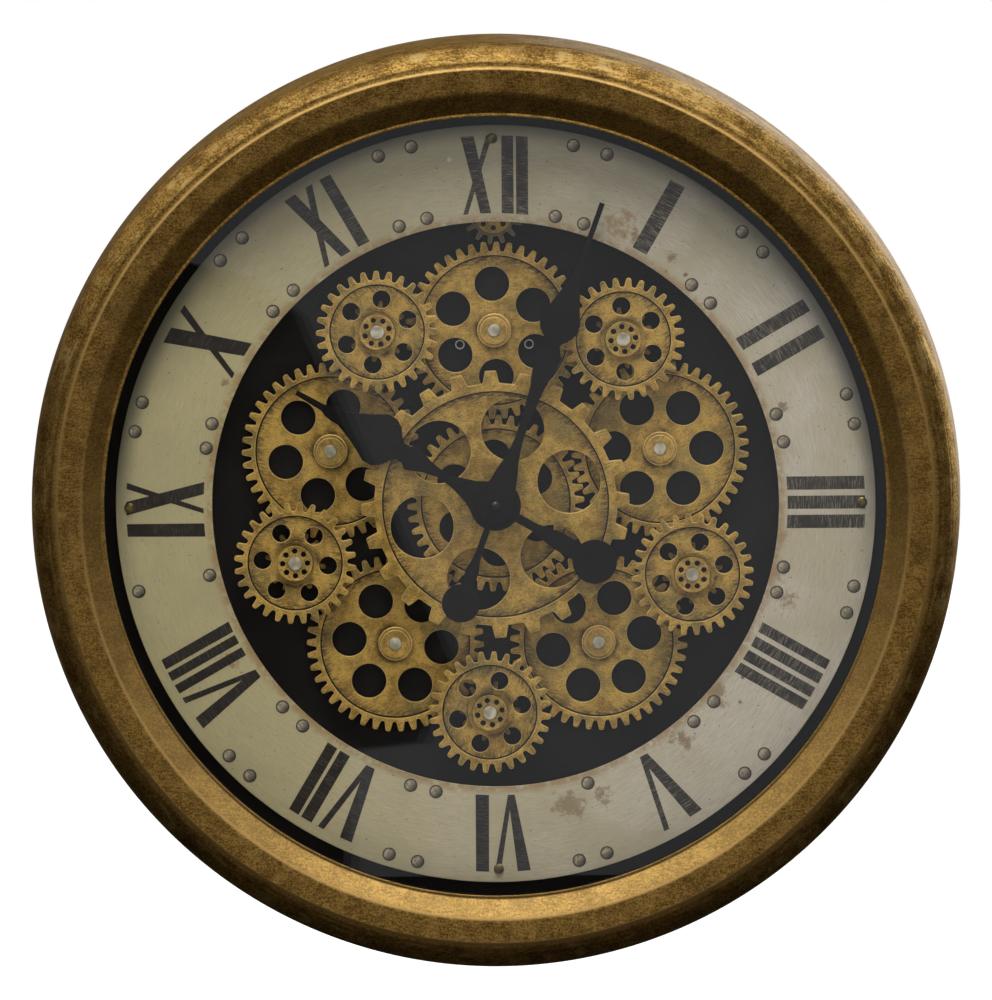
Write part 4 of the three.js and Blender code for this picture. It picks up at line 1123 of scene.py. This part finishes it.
def card(name, corners, material, seen=False):
    """A flat stage piece with the corners given, in metres. One that the camera doesn't see is there only for
    what metal and glass mirror."""
    mesh = bpy.data.meshes.new(name)
    mesh.from_pydata(corners, [], [tuple(range(len(corners)))])
    mesh.materials.append(material)
    made = bpy.data.objects.new(name, mesh)
    bpy.context.scene.collection.objects.link(made)
    if not seen:
        made.visible_camera = False
        made.visible_diffuse = False
        made.visible_shadow = False


def lamp(name, place, target, size, power):
    """A soft square lamp, which no mirror shows."""
    light = bpy.data.lights.new(name, "AREA")
    light.shape = "SQUARE"
    light.size = size
    light.energy = power
    made = bpy.data.objects.new(name, light)
    made.location = place
    made.rotation_mode = "QUATERNION"
    made.rotation_quaternion = aimed(place, target)
    made.visible_camera = False
    made.visible_glossy = False
    bpy.context.scene.collection.objects.link(made)


def glowing(name, colour, strength):
    """A card's own plain light."""
    material, tree = begun(name)
    add(tree, "material output", add(tree, "glow", colour, strength))
    return material


def pale_floor(name):
    """A pale matt floor that keeps the object's shadow and looks white to the camera where no shadow falls: a
    matt surface with a glow that only the camera sees, mixed and then doubled."""
    material, tree = begun(name)
    lift = add(tree, "glow", "#ffffff", add(tree, "light path", output="Is Camera Ray"))
    half = add(tree, "mixed surfaces", 0.45, add(tree, "matt", "#f2f2f0"), lift)
    add(tree, "material output", add(tree, "both surfaces", half, half))
    return material


def studio_world(soft_light):
    """White for the camera, mirrors and glass, and a plain soft light on everything else."""
    world = bpy.data.worlds.new("studio")
    world.use_nodes = True
    tree = world.node_tree
    tree.nodes.clear()
    seen = add(tree, "light path", output="Is Camera Ray")
    for ray in ("Glossy", "Transmission"):
        seen = add(tree, "greater", seen, add(tree, "light path", output=f"Is {ray} Ray"))
    soft = add(tree, "sky", "#ffffff", soft_light)
    white = add(tree, "sky", "#ffffff", 1.0)
    add(tree, "world output", add(tree, "mixed surfaces", seen, soft, white))
    bpy.context.scene.world = world


def side_at(place, low, high, near, far):
    """Corners of an upright card at one x that runs from far to near in y."""
    return [(place, near, low), (place, far, low), (place, far, high), (place, near, high)]


def front_at(place, left, right, low, high):
    """Corners of an upright card at one y."""
    return [(left, place, low), (right, place, low), (right, place, high), (left, place, high)]


def level_at(place, left, right, near, far):
    """Corners of a level card at one z."""
    return [(left, near, place), (right, near, place), (right, far, place), (left, far, place)]


studio_world(soft_light=0.27)
card("floor", level_at(-0.6, -6, 6, -6, 6), pale_floor("floor_pale"), seen=True)
lamp("top_softbox", place=(0.0, -0.95, 2.1), target=(0, 0, 0), size=0.8, power=46)

# What metal mirrors: a bright ceiling over a dim room, white only behind on the right
room = {
    "front_flag": (front_at(-9, -8, 8, -6, 4.5), "#fff4e4", 0.35),
    "front_window": (front_at(-8.9, -0.85, 0.65, -0.6, -0.04), "#fff4e4", 0.02),
    "front_low_right": (front_at(-8.8, 0.66, 8, -1.2, 1.5), "#fff0d8", 0.55),
    "low_flag": (level_at(-0.56, -5, 5, -9, 4), "#fff0dc", 0.02),
    "left_low": (side_at(-2, -0.6, 0.9, -9, 1), "#fff4e4", 0.045),
    "left_high": (side_at(-2, 0.9, 5, -3, 1), "#fff8ee", 0.52),
    "right_low": (side_at(2, -0.6, 0.7, -9, 0.2), "#fff4e4", 0.045),
    "right_high": (side_at(2, 0.7, 5, -3, 0.2), "#fff8ee", 0.2),
    "ceiling_front": (level_at(2.1, -1.2, 1.2, -4.6, -1.1), "#fffaf2", 1.6),
    "ceiling_back": (level_at(2.1, -1.3, 1.3, -1.1, 0.6), "#fffaf2", 0.75),
    "left_panel": (front_at(-3, -2, -0.8, 0.7, 2.1), "#fff8ee", 0.34),
    "right_panel": (front_at(-3, 0.8, 2, 0.7, 2.1), "#fff8ee", 0.36),
    "back_left": (front_at(0.95, -5, -0.3, -0.6, 0.5), "#fff4e4", 0.1),
    "back_up_left": (front_at(0.95, -5, -0.3, 0.5, 5), "#ffe9bc", 0.3),
    "back_up": (front_at(0.95, -0.3, 0.35, 0.5, 5), "#ffe2a8", 0.2),
    "back_middle": (front_at(0.95, -0.3, 0.03, -0.12, 0.5), "#ffe2a8", 0.2),
    "back_low": (front_at(0.95, -0.3, 2.5, -0.6, -0.12), "#fff0dc", 0.03),
}
for name, (corners, colour, strength) in room.items():
    card(name, corners, glowing(f"{name}_cloth", colour, strength))
# The pale screen that the glass mirrors: a haze over all but the left of the view, with a soft left edge
haze_edge = [
    (-0.36, 0.2), (-0.3, -0.03), (-0.235, -0.045), (-0.188, -0.08), (-0.057, -0.381), (-0.087, -0.446),
    (-0.15, -0.453), (-0.15, -0.62),
]
for layer, strength in enumerate((0.34, 0.23, 0.12)):
    outline = [(across - 0.007 * layer, up) for across, up in haze_edge] + [(0.45, -0.62), (0.45, 0.2)]
    corners = [(across, -3.0 - 0.01 * layer, up) for across, up in outline]
    card(f"haze_screen_{layer}", corners, glowing(f"haze_cloth_{layer}", "#f2f5fa", strength))

dial_middle = Vector((aim_right / 1000, -dial_front / 1000, aim_up / 1000))
azimuth = math.radians(view_azimuth)
elevation = math.radians(view_elevation)
level = math.cos(elevation)
back = Vector((math.sin(azimuth) * level, -math.cos(azimuth) * level, math.sin(elevation)))
lens = bpy.data.cameras.new("camera")
lens.sensor_width = sensor_long_side
lens.lens = sensor_long_side * pixels_per_mm * view_distance / frame_height_pixels
lens.clip_end = 100.0
camera = bpy.data.objects.new("camera", lens)
camera.location = dial_middle + back * view_distance / 1000
camera.rotation_mode = "QUATERNION"
camera.rotation_quaternion = aimed(camera.location, dial_middle, view_roll)
bpy.context.scene.collection.objects.link(camera)
bpy.context.scene.camera = camera
bpy.context.scene.view_settings.view_transform = "Standard"
